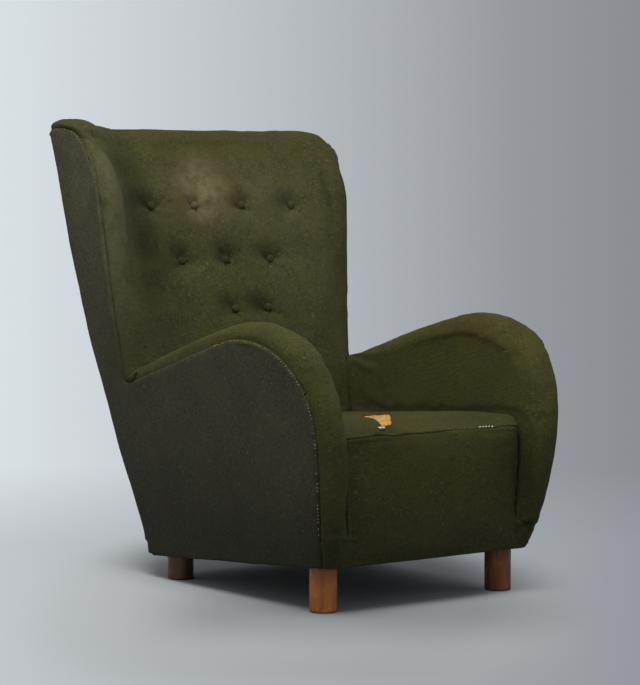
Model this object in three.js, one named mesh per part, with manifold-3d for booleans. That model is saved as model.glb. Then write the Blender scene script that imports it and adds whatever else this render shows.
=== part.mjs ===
// A high wingback lounge chair: a beech frame, a sprung seat, a buttoned back with wings and two rolled arms.
// Millimetres, Z up, Y towards the back, X across the chair (the sitter's left is +X).
// The shapes are worked out about the middle of the four legs, and the whole is moved at the end so that
// the origin lies on the floor under the middle of the chair's box.
import * as THREE from "three";
import { mergeVertices } from "three/addons/utils/BufferGeometryUtils.js";
import Module from "manifold-3d";

const wasm = await Module();
wasm.setup();

// The whole chair
const wingTop = 1064; // floor to the top of the wings
const topDip = 12; // how far the top edge sinks between the wings
const frontHem = 100; // floor to the lower edge of the front
const rearHem = 47; // floor to the lower edge of the back
const gap = 0.3; // left between neighbouring pieces
const overrun = 15; // how far a cutting shape runs past what it cuts
const clothSkin = 6; // an outer cover panel with its thin wadding

// Outer sides and rear, as they lean and rake
const backFootHalf = 292; // half the width across the back at its foot
const backTopHalf = 362; // and at the top of the wings
const backWidthShares = [[0.044, 0], [0.28, 0.28], [0.47, 0.54], [0.66, 0.77], [0.845, 0.957], [1, 1]];
const armFootHalf = 288; // half the width across the arms at the front hem
const armTopHalf = 378; // and at the top of the arms
const armWidthShares = [[0, 0], [0.115, 0.18], [0.38, 0.46], [0.58, 0.6], [0.77, 0.76], [1, 1]];
const sideBelly = 6; // how far the side panels swell between front and rear
const rearFoot = 362; // leg centres' middle to the rear face at its foot
const rake = 328; // how far the rear face leans back up to the top
const rakeShares = [[0.044, 0], [0.19, 0.165], [0.38, 0.424], [0.56, 0.642], [0.75, 0.802], [1, 1]];
const rearCrown = 8; // swell of the rear face at the middle
const rearFaceShares = [0.66, 0.33, 0]; // of its half width, where its points lie
const cornerRadius = 35; // rear upright corners
const panelLap = 14; // how far the side panels lap round onto the rear face

// Arms
const armReach = 411; // leg centres' middle to the foremost point of the arm rolls
const armTop = 621; // floor to the highest point of the arms
const armRear = 460; // where the arms' tops end inside the back
const armRoll = 44; // radius of the roll over the front and the top
const armRollSteps = 5;
const armFaceRingShares = [0.3, 0.65];
const armSeamInset = 38; // the side panel's seam, measured in from the arm's outline
const armInnerFoot = 215; // half the width between the arms at the foot
const armInnerTop = 268; // and at the top
const armInnerShares = [[0, 0], [0.115, 0.3], [0.29, 0.53], [0.58, 0.755], [0.77, 0.87], [1, 1]];
// The arm's side outline: share of the way from the foremost point to the rear end, and of hem to top
const armOutlineShares = [
  [0.068, 0], [0.037, 0.115], [0.014, 0.288], [0, 0.52], [0.01, 0.672], [0.033, 0.768],
  [0.067, 0.845], [0.139, 0.937], [0.231, 0.988], [0.311, 1], [0.375, 0.99], [0.496, 0.94],
  [0.621, 0.88], [0.75, 0.823], [0.858, 0.772], [1, 0.71],
];
const armMiddleShares = [0.5, 0.42]; // a point that all of the outline is seen from
const armRearSteps = 4;
const armFootSteps = 6;

// Wings and back
const wingFootSeam = 402; // leg centres' middle to the wing's front seam, where it meets the arm
const wingFoot = 500; // floor to that place
const wingLean = 0.13; // how far the seam leans back for each unit of height
const wingRoll = 35; // radius of the roll along the wing's front
const wingRollShares = [0.9, 0.45]; // of a quarter turn, where its points lie
const archRun = 135; // the wing's seam turns over in an arch this deep
const archRise = 145; // and this high
const archTop = 30; // from the top of the wing down to the arch
const archRearRadius = 45;
const topRoll = 36; // height of the roll over the top edge
const dipFlatShare = 0.35; // of the half width that the dip's flat middle takes
const topFall = 26; // how far the top edge falls to the front of the wings
const topFallRun = 110; // over this run
const topFallRear = 620; // leg centres' middle to where that fall starts
const padTopThick = 122; // front surface to rear face, at the top
const padLumbarThick = 240; // and at the small of the back
const padThickShares = [
  [0, 0.93], [0.22, 1], [0.38, 0.82], [0.541, 0.47], [0.719, 0.36], [0.909, 0.05], [1, 0],
];
const hollowPower = 2.6; // how squarely the front surface turns into the wings
const padFoot = 340; // floor to the lower end of the back pad
const padLowLevels = 4; // below the arch of the wings
const padArchLevels = 4; // and along it
const topRollShares = [0.3, 0.6, 0.85]; // of a quarter turn
const webHollowTop = 930; // floor to the top of the hollow behind the pad

// Buttons, in three rows from the top down
const topRow = 864; // floor to the top row
const middleRow = 733;
const lowRow = 618;
const buttonReach = 200; // from the middle out to the last button of the top row
const topRowShares = [-0.995, -0.35, 0.365, 1.03]; // of that reach
const middleRowShares = [-0.625, 0, 0.625];
const lowRowShares = [-0.22, 0.25];
const buttonRadius = 10;
const buttonThick = 7;
const tuftRadius = 34;
const tuftDepth = 13;
const tuftSides = 7;
const tuftShares = [[0, -1], [0.35, -1], [1, 0.1], [1, 2.5], [0, 2.5]]; // of radius, of depth
const buttonSides = 12;
// of radius, of thickness
const buttonShares = [[0, 0], [0.8, 0], [1, 0.3], [0.85, 0.7], [0.45, 0.95], [0, 1]];

// Seat
const seatFront = 352; // leg centres' middle to the seat's front edge
const seatSeam = 379; // floor to the seam along the front edge
const seatCrown = 36; // how far the seat's top stands above that seam
const seatRear = 330; // leg centres' middle to the seat pad's rear end
const seatCornerRadius = 26;
const seatEdge = 16; // how far the crown's edge is drawn in
const seatEdgeShares = [[0, 0], [0.3, 0.3], [1.2, 0.66], [3, 0.88], [6, 0.98]];
const seatCornerSteps = 3;
const seatSideSteps = 4;
const borderBelly = 5; // swell of the front border
const cornerPanelTop = 165; // floor to the top of the low corner panels under the arm rolls
const borderLevels = 5;
const borderColumns = 8;

// Seat frame
const railHeight = 90;
const railThick = 28;
const railFoot = 9; // rails above the hem, with room for webbing and dust cover
const railHalf = 286; // half the width over the side rails
const railFront = 322; // leg centres' middle to the front rail's front
const railRear = 353; // and to the rear rail's rear
const blockSize = 50;
const blockHeight = 56;

// Legs
const legRadius = 30;
const legSide = 246; // leg centres, across
const legRun = 279; // and front to rear
const legFootRound = 2.5;
const legSides = 24;
const tenonRadius = 9;
const tenonLength = 40;

// Uprights and rails of the arms, wings and back
const boardThick = 28;
const armPostWidth = 58;
const armPostTop = 475; // floor to where the arm's post meets its top rail
const armRailDepth = 42;
const armFrameInset = 52; // the arm rail's middle, measured in from the arm's outline
const backPostWidth = 44;
const wingRailWidth = 30;
const wingRailThick = 24;
const wingTurnShare = 0.4; // of the run to the post, where the wing rail has turned level
const wingFrameInset = 30; // the wing frame's middle, behind the wing's seam
const crestTop = 1000;
const crestHeight = 64;
const lowRailFoot = 345;
const lowRailHeight = 60;
const postSteps = 4;
const railSteps = 6;

// Springs, webbing, spring cloth and dust cover
const springSpacing = 150; // across
const springRunSpacing = 170; // front to rear
const springMiddle = 5; // the middle row, behind the leg centres' middle
const springEndRadius = 38;
const springWaistRadius = 27;
const springTurns = 4.5;
const springSteps = 7; // for each turn
const springFlatShare = 0.16; // of its wire that lies flat at each end
const wireRadius = 2;
const wireSides = 4;
const strapWidth = 50;
const strapThick = 2;
const strapWave = 1.5; // how far a strap rises and sinks where it is woven
const strapSteps = 12;
const strapEnd = 16; // how far a strap lies under its rail
const springClothRise = 65; // from the rails' top to the spring cloth's middle
const springClothSink = 3; // from the rails' top down to where the spring cloth is tacked
const springClothThick = 2;
const springClothPower = 10;
const springClothSteps = 8;
const springSlack = 1; // from a spring's top coil to the cloth over it
const dustThick = 1.5;
const backStrapMiddle = 650; // floor to the middle one of three
const backStrapSpacing = 170;
const backStrapLie = 20; // how far a back strap lies over its post

// Colours
const clothOlive = { color: 0x3d421d, roughness: 0.95 };
const clothDark = { color: 0x33362a, roughness: 0.95 };
const beechRed = { color: 0x8a4a28, roughness: 0.55 };
const beechRaw = { color: 0xb08a5c, roughness: 0.75 };
const jute = { color: 0x9a8056, roughness: 0.95 };
const hessian = { color: 0x8b7350, roughness: 0.95 };
const blackCloth = { color: 0x2a2824, roughness: 0.95 };
const springSteel = { color: 0x77716a, roughness: 0.45, metalness: 0.9 };

const { lerp, clamp, smoothstep } = THREE.MathUtils;
const sides = [["left", 1], ["right", -1]];
const quarter = Math.PI / 2;
const panelReach = clothSkin + gap; // outer surface to what lies under the cover panels
const postReach = panelReach + backPostWidth; // rear face to the front of the back posts

// The value at a place on a smooth curve through pairs of shares
function onCurve(shares, place) {
  const last = shares.length - 1;
  const at = clamp(place, shares[0][0], shares[last][0]);
  const slope = (i) => {
    const a = shares[Math.max(i - 1, 0)];
    const b = shares[Math.min(i + 1, last)];
    return (b[1] - a[1]) / (b[0] - a[0]);
  };
  const i = Math.min(shares.findLastIndex((pair) => pair[0] <= at), last - 1);
  const run = shares[i + 1][0] - shares[i][0];
  const t = (at - shares[i][0]) / run;
  const from = shares[i][1] + slope(i) * run * t;
  const to = shares[i + 1][1] - slope(i + 1) * run * (1 - t);
  return lerp(from, to, t * t * (3 - 2 * t));
}

// The hem's height, falling to the rear
const hemSlope = (frontHem - rearHem) / (railFront + rearFoot);
const hemFall = (y) => hemSlope * (y + railFront);
const hemAt = (y) => frontHem - hemFall(y);
const railTop = frontHem + railFoot + railHeight; // before the fall to the rear

// Outer surfaces
const armShare = (z) => clamp((z - frontHem) / (armTop - frontHem), 0, 1);
const armHalf = (z) => lerp(armFootHalf, armTopHalf, onCurve(armWidthShares, armShare(z)));
const armInner = (z) => lerp(armInnerFoot, armInnerTop, onCurve(armInnerShares, armShare(z)));
const backHalf = (z) => lerp(backFootHalf, backTopHalf, onCurve(backWidthShares, z / wingTop));
const rearAt = (z) => rearFoot + rake * onCurve(rakeShares, z / wingTop);

function sideAt(y, z) {
  const share = clamp((y + armReach) / (rearAt(z) + armReach), 0, 1);
  const swell = sideBelly * Math.sin(Math.PI * share);
  return lerp(armHalf(z), backHalf(z), smoothstep(share, 0, 1)) + swell;
}

// The wing's front seam, which leans back and then turns over in an arch
function wingSeamAt(z) {
  const archFoot = wingTop - archTop - archRise;
  const up = clamp((z - archFoot) / archRise, 0, 1);
  return wingFootSeam + wingLean * (z - wingFoot) + archRun * (1 - Math.sqrt(1 - up * up));
}

// The middle of the back's front surface
function frontAt(z) {
  const share = clamp((z - padFoot) / (wingTop - padFoot), 0, 1);
  return rearAt(z) - lerp(padTopThick, padLumbarThick, onCurve(padThickShares, share));
}

// The height of the top edge, lower in the middle and towards the front of the wings
const fallAt = (y) => topFall * clamp((topFallRear - y) / topFallRun, 0, 1) ** 2;
const dipAt = (x) => topDip * (1 - smoothstep(Math.abs(x) / backTopHalf, dipFlatShare, 1));
const topAt = (x, y) => wingTop - dipAt(x) - fallAt(y);

// Turns a triangle list so that its faces point outwards, and gives its solid
function solidOf(points, faces) {
  const around = new THREE.Vector3();
  const volume = faces.reduce((sum, [a, b, c]) => {
    around.crossVectors(points[b], points[c]);
    return sum + points[a].dot(around);
  }, 0);
  const index = faces.flatMap(([a, b, c]) => (volume < 0 ? [a, c, b] : [a, b, c]));
  const geometry = new THREE.BufferGeometry().setFromPoints(points).setIndex(index);
  return manifoldOf(geometry);
}

function manifoldOf(geometry) {
  const bare = geometry.clone();
  bare.deleteAttribute("normal");
  bare.deleteAttribute("uv");
  const merged = mergeVertices(bare, 1e-4);
  return new wasm.Manifold(new wasm.Mesh({
    numProp: 3,
    vertProperties: merged.attributes.position.array,
    triVerts: new Uint32Array(merged.index.array),
  }));
}

function geometryOf(solid) {
  const { vertProperties, triVerts, numProp } = solid.getMesh();
  const stored = new THREE.InterleavedBuffer(vertProperties, numProp);
  const position = new THREE.InterleavedBufferAttribute(stored, 3, 0);
  const plain = new THREE.BufferAttribute(new Float32Array(position.count * 3), 3);
  for (let i = 0; i < position.count; i++) {
    plain.setXYZ(i, position.getX(i), position.getY(i), position.getZ(i));
  }
  return new THREE.BufferGeometry().setAttribute("position", plain)
    .setIndex(new THREE.BufferAttribute(triVerts, 1));
}

// A solid through closed rings of equal count, with each end closed towards its middle or, for a ring
// whose second half runs back along its first, across from one half to the other
function ringSolid(rings, paired = false) {
  const count = rings[0].length;
  const points = rings.flat();
  const faces = [];
  for (let r = 0; r < rings.length - 1; r++) {
    for (let i = 0; i < count; i++) {
      const a = r * count + i;
      const b = r * count + (i + 1) % count;
      faces.push([a, b, b + count], [a, b + count, a + count]);
    }
  }
  const close = (start, flip) => {
    const add = (a, b, c) => faces.push(flip ? [a, b, c] : [a, c, b]);
    if (paired) {
      for (let i = 0; i < count / 2 - 1; i++) {
        const [a, b, c, d] = [start + i, start + i + 1, start + count - 2 - i, start + count - 1 - i];
        add(a, b, c);
        add(a, c, d);
      }
      return;
    }
    const middle = new THREE.Vector3();
    for (let i = 0; i < count; i++) middle.addScaledVector(points[start + i], 1 / count);
    points.push(middle);
    for (let i = 0; i < count; i++) add(start + i, start + (i + 1) % count, points.length - 1);
  };
  close(0, false);
  close((rings.length - 1) * count, true);
  return solidOf(points, faces);
}

// A sheet between two grids of points
function sheetSolid(top, under) {
  const rows = top.length;
  const columns = top[0].length;
  const points = [...top.flat(), ...under.flat()];
  const faces = [];
  const at = (side, r, c) => side * rows * columns + r * columns + c;
  const quad = (a, b, c, d) => faces.push([a, b, c], [a, c, d]);
  for (let r = 0; r < rows - 1; r++) {
    for (let c = 0; c < columns - 1; c++) {
      quad(at(0, r, c), at(0, r, c + 1), at(0, r + 1, c + 1), at(0, r + 1, c));
      quad(at(1, r, c), at(1, r + 1, c), at(1, r + 1, c + 1), at(1, r, c + 1));
    }
    const end = columns - 1;
    quad(at(0, r, 0), at(0, r + 1, 0), at(1, r + 1, 0), at(1, r, 0));
    quad(at(0, r, end), at(1, r, end), at(1, r + 1, end), at(0, r + 1, end));
  }
  const end = rows - 1;
  for (let c = 0; c < columns - 1; c++) {
    quad(at(0, 0, c), at(1, 0, c), at(1, 0, c + 1), at(0, 0, c + 1));
    quad(at(0, end, c), at(0, end, c + 1), at(1, end, c + 1), at(1, end, c));
  }
  return solidOf(points, faces);
}

// Whole steps from one value to another, both ends included
function steps(from, to, count) {
  return Array.from({ length: count + 1 }, (_, i) => lerp(from, to, i / count));
}

// A closed or open line of 2-D points moved sideways, outwards for a line that runs anticlockwise
function offsetLine(line, distance, closed = true) {
  const count = line.length;
  return line.map((point, i) => {
    const before = line[closed ? (i + count - 1) % count : Math.max(i - 1, 0)];
    const after = line[closed ? (i + 1) % count : Math.min(i + 1, count - 1)];
    const along = after.clone().sub(before).normalize();
    return new THREE.Vector2(point.x + along.y * distance, point.y - along.x * distance);
  });
}

// A block between two corners that falls to the rear with the hem
function block(low, high, level = false) {
  const size = high.clone().sub(low);
  const middle = low.clone().add(high).multiplyScalar(0.5);
  const shape = new THREE.BoxGeometry(size.x, size.y, size.z).translate(...middle);
  if (!level) fallToRear(shape);
  return manifoldOf(shape);
}

function fallToRear(geometry) {
  const position = geometry.attributes.position;
  for (let i = 0; i < position.count; i++) {
    position.setZ(i, position.getZ(i) - hemFall(position.getY(i)));
  }
  return geometry;
}

const vector = (x, y, z) => new THREE.Vector3(x, y, z);

// A board along a line that stays in one fore-and-aft plane or nearly so: its thickness lies across the chair
function board(line, thick, width, grow = 0) {
  const across = vector(1, 0, 0);
  const last = line.length - 1;
  const rings = line.map((point, i) => {
    const along = line[Math.min(i + 1, last)].clone().sub(line[Math.max(i - 1, 0)]).normalize();
    const square = along.clone().cross(across).normalize();
    const end = i === 0 ? -grow : i === last ? grow : 0;
    const middle = point.clone().addScaledVector(along, end);
    const corner = (u, v) => middle.clone()
      .addScaledVector(across, u * (thick / 2 + grow))
      .addScaledVector(square, v * (width / 2 + grow));
    return [corner(1, 1), corner(-1, 1), corner(-1, -1), corner(1, -1)];
  });
  return ringSolid(rings);
}

// The arm's outline seen from the side, as a closed line that runs anticlockwise: Y, Z
function armOutline() {
  const place = ([y, z]) => new THREE.Vector3(
    lerp(-armReach, armRear, y), lerp(frontHem, armTop, z), 0);
  const knots = armOutlineShares.map(place);
  const curve = new THREE.CatmullRomCurve3(knots, false, "centripetal");
  const over = curve.getPoints(2 * (knots.length - 1)).map((p) => new THREE.Vector2(p.x, p.y));
  const rearTop = over[over.length - 1];
  const down = steps(rearTop.y, frontHem, armRearSteps).slice(1)
    .map((z) => new THREE.Vector2(Math.min(armRear, rearAt(z) - postReach), z));
  const foot = steps(down[armRearSteps - 1].x, over[0].x, armFootSteps).slice(1, -1)
    .map((y) => new THREE.Vector2(y, frontHem));
  return [...over, ...down, ...foot].reverse();
}

const armLine = armOutline();
const armFixedCount = armRearSteps + armFootSteps - 1; // points along the rear end and the foot

// The arm's outline drawn in by a distance, except along its rear end and foot
function armLineIn(distance) {
  const moved = offsetLine(armLine, -distance);
  const corner = moved.length - 1;
  moved[corner].set(armLine[corner].x + distance, frontHem);
  return moved.map((point, i) => (i < armFixedCount ? armLine[i].clone() : point));
}

// The whole arm on one side, as wide as its cover, with its front and top rolled over
function armForm(side, grow = 0) {
  const line = (distance) => offsetLine(armLineIn(distance), grow);
  const middle = new THREE.Vector2(
    lerp(-armReach, armRear, armMiddleShares[0]), lerp(frontHem, armTop, armMiddleShares[1]));
  const place = (point, share) => {
    const outer = sideAt(point.x, point.y) + grow;
    const inner = armInner(point.y) - grow;
    return vector(side * lerp(inner, outer, share), point.x, point.y);
  };
  const face = (share) => armFaceRingShares.map((size) =>
    line(armRoll).map((point) => place(middle.clone().lerp(point, size), share)));
  const roll = steps(-quarter, quarter, armRollSteps).map((turn) =>
    line(armRoll * (1 - Math.cos(turn))).map((point) => place(point, (1 + Math.sin(turn)) / 2)));
  return ringSolid([...face(0), ...roll, ...face(1).reverse()]);
}

// How far the wing's roll turns before the back's front surface starts: from its front, where that surface
// is level with the roll or before it, to its inner side
function rollEnd(seam, middleY) {
  return quarter * (1 + smoothstep(middleY, seam - wingRoll, seam + wingRoll));
}

// One level of the back: points along its outer line from the right wing round the rear to the left wing,
// and the points across from them along its front surface
function backLevel(z, grow = 0) {
  const seam = wingSeamAt(z);
  const side = sideAt(seam, z);
  const cornerY = rearAt(z) - cornerRadius;
  const cornerX = sideAt(cornerY, z) - cornerRadius;
  const middleY = frontAt(z);
  const turn = (angle, radius, x, y) => [x + radius * Math.cos(angle), y + radius * Math.sin(angle)];
  const rollTurns = wingRollShares.map((share) => share * quarter);
  const outer = rollTurns.map((angle) => turn(-angle, wingRoll, side - wingRoll, seam));
  for (const y of steps(seam, cornerY, 3)) outer.push([sideAt(y, z), y]);
  for (const angle of steps(0, quarter, 2).slice(1)) outer.push(turn(angle, cornerRadius, cornerX, cornerY));
  for (const share of rearFaceShares) {
    outer.push([cornerX * share, rearAt(z) + rearCrown * (1 - share * share)]);
  }
  const last = rollEnd(seam, middleY);
  const inner = rollTurns.map((angle) =>
    turn(lerp(-quarter, -last, 1 - angle / quarter), wingRoll, side - wingRoll, seam));
  const [startX, startY] = turn(-last, wingRoll, side - wingRoll, seam);
  for (const angle of steps(0, quarter, outer.length - inner.length - 1)) {
    inner.push([
      startX * Math.cos(angle) ** (2 / hollowPower),
      lerp(startY, middleY, Math.sin(angle) ** (2 / hollowPower)),
    ]);
  }
  const roll = [side - wingRoll, seam];
  const spine = outer.map((point, i) => (i < rollTurns.length
    ? roll : [(point[0] + inner[i][0]) / 2, (point[1] + inner[i][1]) / 2]));
  const whole = (half) => [
    ...half.map(([x, y]) => new THREE.Vector2(-x, y)),
    ...half.slice(0, -1).reverse().map(([x, y]) => new THREE.Vector2(x, y)),
  ];
  const ring = [...whole(outer), ...whole(inner).reverse()];
  const middles = [...whole(spine), ...whole(spine).reverse()];
  return { ring: offsetLine(ring, -grow), middles };
}

// The whole back with its wings, rolled over along the top
function backForm(grow = 0) {
  const rollFoot = wingTop - topRoll - topDip / 2;
  const archFoot = wingTop - archTop - archRise;
  const places = [
    ...steps(padFoot, archFoot, padLowLevels),
    ...steps(0, 1, padArchLevels).slice(1, -1).map((share) =>
      lerp(archFoot, rollFoot, Math.sin(share * quarter))),
  ];
  const levels = places.map((z, i) => {
    const up = clamp((z - archFoot) / (rollFoot - archFoot), 0, 1);
    const foot = i === 0 ? grow : 0;
    return backLevel(z, grow).ring.map((p) => vector(p.x, p.y, z - foot - up * fallAt(p.y)));
  });
  const last = backLevel(rollFoot, grow);
  const top = [0, ...topRollShares].map((share) => last.ring.map((p, i) => {
    const middle = last.middles[i];
    const drawn = middle.clone().lerp(p, Math.cos(share * quarter));
    const rise = (topRoll + grow) * Math.sin(share * quarter);
    return vector(drawn.x, drawn.y, topAt(drawn.x, drawn.y) - topRoll + rise);
  }));
  return ringSolid([...levels, ...top], true);
}

// The skin that the outer cover panels are cut from, between two depths below the outer surface
const skinLevels = steps(0, wingTop, 10);

function skin(lineAt, outer, inner, side = 1) {
  const layer = (depth) => skinLevels.map((z) =>
    offsetLine(lineAt(z), -depth, false).map((p) => vector(side * p.x, p.y, z)));
  return sheetSolid(layer(outer), layer(inner));
}

function sideLine(lap) {
  return (z) => {
    const cornerY = rearAt(z) - cornerRadius;
    const cornerX = sideAt(cornerY, z) - cornerRadius;
    const flat = steps(-armReach, cornerY, 6).map((y) => [sideAt(y, z), y]);
    const corner = steps(0, quarter, 3).slice(1)
      .map((angle) => [cornerX + cornerRadius * Math.cos(angle), cornerY + cornerRadius * Math.sin(angle)]);
    const end = [cornerX - lap, cornerY + cornerRadius];
    return [...flat, ...corner, end].map(([x, y]) => new THREE.Vector2(x, y));
  };
}

function rearLine(lap) {
  return (z) => {
    const edge = sideAt(rearAt(z) - cornerRadius, z) - cornerRadius - lap;
    return steps(1, -1, 6).map((share) =>
      new THREE.Vector2(edge * share, rearAt(z) + rearCrown * (1 - share * share)));
  };
}

// The side panel's seam, as a closed line that runs anticlockwise: Y, Z
function sideSeam() {
  const overArm = armLineIn(armSeamInset).slice(armFixedCount).reverse();
  const wingAt = (z) => new THREE.Vector2(wingSeamAt(z), z);
  const meet = overArm.findIndex((p) => p.x > wingSeamAt(p.y));
  const meetZ = overArm[meet - 1].y;
  const archFoot = wingTop - archTop - archRise;
  const wing = steps(meetZ, archFoot, 3).map(wingAt);
  const arch = steps(0, quarter, 5).slice(1)
    .map((turn) => wingAt(archFoot + archRise * Math.sin(turn)));
  const peak = arch[arch.length - 1];
  const rearX = rearAt(peak.y);
  const rear = [
    new THREE.Vector2(rearX - archRearRadius, peak.y),
    new THREE.Vector2(rearX - archRearRadius / 4, peak.y - archRearRadius / 4),
    new THREE.Vector2(rearX, peak.y - archRearRadius / 2),
    new THREE.Vector2(rearX + overrun, peak.y - archRearRadius / 2),
  ];
  const foot = [rearX + overrun, -railFront].map((y) => new THREE.Vector2(y, hemAt(y)));
  const front = overArm.slice(0, meet - 1).filter((p) => p.y > cornerPanelTop);
  foot[1].x = front[0].x;
  return [...front, ...wing, ...arch, ...rear, ...foot].reverse();
}

// A prism along X from a closed Y, Z line
function acrossPrism(line, from, to) {
  const shape = new THREE.Shape(line);
  const solid = new THREE.ExtrudeGeometry(shape, { depth: Math.abs(to - from), bevelEnabled: false });
  solid.rotateY(quarter).rotateX(quarter).translate(Math.min(from, to), 0, 0);
  return manifoldOf(solid);
}

function sidePanelCut(side, outer, inner, grow) {
  const line = offsetLine(sideSeam(), grow);
  const reach = [side * legSide / 2, side * (armTopHalf + 2 * overrun)];
  return skin(sideLine(panelLap + grow), outer, inner, side).intersect(acrossPrism(line, ...reach));
}

// The outside back's outline as a closed X, Z line, made a prism along Y
function rearPanelCut(outer, inner, grow) {
  const rollFoot = wingTop - topRoll;
  const edge = backTopHalf;
  const corners = [
    [edge, rearHem - grow], [edge, rollFoot - topDip / 2],
    [edge / 2, rollFoot - topDip + grow], [-edge / 2, rollFoot - topDip + grow],
    [-edge, rollFoot - topDip / 2], [-edge, rearHem - grow],
  ];
  const shape = new THREE.Shape(corners.map(([x, z]) => new THREE.Vector2(x, z)));
  const depth = rake + rearCrown + 2 * cornerRadius;
  const prism = new THREE.ExtrudeGeometry(shape, { depth, bevelEnabled: false })
    .rotateX(quarter).translate(0, rearFoot - cornerRadius + depth, 0);
  return skin(rearLine(panelLap + gap - grow), outer, inner).intersect(manifoldOf(prism));
}

const root = new THREE.Group();

function add(name, solid, finish) {
  const mesh = new THREE.Mesh(geometryOf(solid), new THREE.MeshStandardMaterial(finish));
  mesh.name = name;
  root.add(mesh);
}

// What the covers leave for the frame and the pads, with the gap to the panels
const cuts = {
  left: sidePanelCut(1, -overrun, panelReach, gap),
  right: sidePanelCut(-1, -overrun, panelReach, gap),
  rear: rearPanelCut(-overrun, panelReach, gap),
};
const underCovers = (solid) => solid.subtract(cuts.left).subtract(cuts.right).subtract(cuts.rear);

const without = (solid, cutters) => cutters.reduce((left, cutter) => left.subtract(cutter), solid);

// Seat frame, with everything below the rails' top kept clear of the padding
const railFootZ = frontHem + railFoot;
const innerRail = railHalf - railThick; // half the width between the side rails
const frontRailRear = -railFront + railThick;
const rearRailFront = railRear - railThick;

function sideBlock(side, inner, outer, yFrom, yTo, zFrom, zTo) {
  return block(
    vector(Math.min(side * inner, side * outer), yFrom, zFrom),
    vector(Math.max(side * inner, side * outer), yTo, zTo));
}

function legForm(side, end) {
  const y = end * legRun;
  const seat = hemAt(y) + railFoot;
  const profile = [
    [0, 0], [legRadius - legFootRound, 0], [legRadius, legFootRound],
    [legRadius, seat + legRadius], [0, seat + legRadius],
  ].map(([x, z]) => new THREE.Vector2(x, z));
  const turned = new THREE.LatheGeometry(profile, legSides).rotateX(quarter).translate(side * legSide, y, 0);
  const above = sideBlock(side, legSide - 2 * legRadius, legSide + 2 * legRadius,
    y - 2 * legRadius, y + 2 * legRadius, railFootZ - gap, railTop);
  return manifoldOf(turned).subtract(above).add(tenon(side, end));
}

function tenon(side, end, grow = 0) {
  const y = end * legRun;
  const length = tenonLength + legRadius + grow;
  const radius = tenonRadius + grow;
  return manifoldOf(new THREE.CylinderGeometry(radius, radius, length, legSides / 2).rotateX(quarter)
    .translate(side * legSide, y, hemAt(y) + railFoot - legRadius + length / 2));
}

function cornerBlock(side, end) {
  const outer = innerRail - gap;
  const face = end < 0 ? frontRailRear + gap : rearRailFront - gap;
  const y = [face, face - end * blockSize];
  return sideBlock(side, outer - blockSize, outer, Math.min(...y), Math.max(...y),
    railFootZ, railFootZ + blockHeight).subtract(tenon(side, end, gap));
}

// Frame of the arms, wings and back: board middles follow the outer sides from within
const armFrameLine = armLineIn(armFrameInset).slice(armFixedCount).reverse();
const frameX = (y, z) => sideAt(y, z) - panelReach - boardThick / 2;
const frameLine = (side, places) => places.map(([y, z]) => vector(side * frameX(y, z), y, z));

function armPost(side, grow = 0) {
  const top = armFrameLine.find((p) => p.y > armPostTop);
  const foot = vector(side * (railHalf - railThick / 2), armPostWidth / 2 - railFront, 0);
  foot.z = railTop - hemFall(foot.y) + gap;
  const line = [foot, ...frameLine(side, [[top.x, top.y]])];
  const below = sideBlock(side, 0, armTopHalf, -armReach, 0, 0, railTop + gap - grow);
  line[0].z -= armPostWidth;
  return board(line, boardThick, armPostWidth, grow).subtract(below);
}

function armRail(side, grow = 0) {
  const over = armFrameLine.filter((p) => p.y > armPostTop || p.x > 0);
  const places = over.filter((_, i) => i % 2 === 0).map((p) => [p.x, p.y]);
  const [before, end] = places.slice(-2);
  const run = railRear + armRailDepth + backPostWidth + overrun - end[0];
  const fall = (end[1] - before[1]) / (end[0] - before[0]);
  places.push([end[0] + run, end[1] + run * fall]);
  return board(frameLine(side, places), boardThick, armRailDepth, grow);
}

const postLevels = steps(rearHem + railFoot, crestTop, postSteps);
const postInset = postReach - backPostWidth / 2; // rear face to the posts' middle

function backPost(side, grow = 0) {
  const line = postLevels.map((z) => [rearAt(z) - postInset, z]);
  return board(frameLine(side, line), boardThick, backPostWidth, grow);
}

// The front of the back posts, which are straight between their levels
function postFrontAt(z) {
  const i = clamp(postLevels.findLastIndex((level) => level <= z), 0, postSteps - 1);
  const [foot, top] = [postLevels[i], postLevels[i + 1]];
  const slope = (rearAt(top) - rearAt(foot)) / (top - foot);
  return rearAt(foot) + slope * (z - foot) - postInset - backPostWidth / 2 * Math.hypot(1, slope);
}

function wingRail(side, grow = 0) {
  const archFoot = wingTop - archTop - archRise;
  const seamLine = (z) => [wingSeamAt(z) + wingFrameInset, z];
  const endY = rearAt(crestTop) - panelReach - backPostWidth;
  const endZ = crestTop - wingRailWidth;
  const knots = [
    ...steps(armPostTop - armRailDepth, archFoot, 3).map(seamLine),
    seamLine(lerp(archFoot, endZ, 0.5)),
    [lerp(seamLine(endZ)[0], endY, wingTurnShare), endZ],
    [endY + wingRailWidth, endZ],
  ].map(([y, z]) => new THREE.Vector3(0, y, z));
  const line = new THREE.CatmullRomCurve3(knots).getPoints(railSteps);
  return board(frameLine(side, line.map((p) => [p.y, p.z])), wingRailThick, wingRailWidth, grow);
}

// A slab across the back through some levels, from its front to its rear at each
function acrossBack(levels, frontOf, rearOf, halfOf) {
  return ringSolid(levels.map((z) => {
    const [front, rear, half] = [frontOf(z), rearOf(z), halfOf(z)];
    return [[half, front], [half, rear], [-half, rear], [-half, front]].map(([x, y]) => vector(x, y, z));
  }));
}

// The posts' inner sides, half the width between them
const postHalf = (z) => frameX(rearAt(z) - panelReach, z) - boardThick / 2;

// A rail across the back between the posts, raked with them
function crossRail(foot, rise, grow = 0) {
  const rearOf = (z) => rearAt(z) - panelReach - gap + grow;
  return acrossBack([foot - grow, foot + rise + grow],
    (z) => rearOf(z) - railThick - 2 * grow, rearOf, (z) => postHalf(z) - gap + grow);
}

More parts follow.
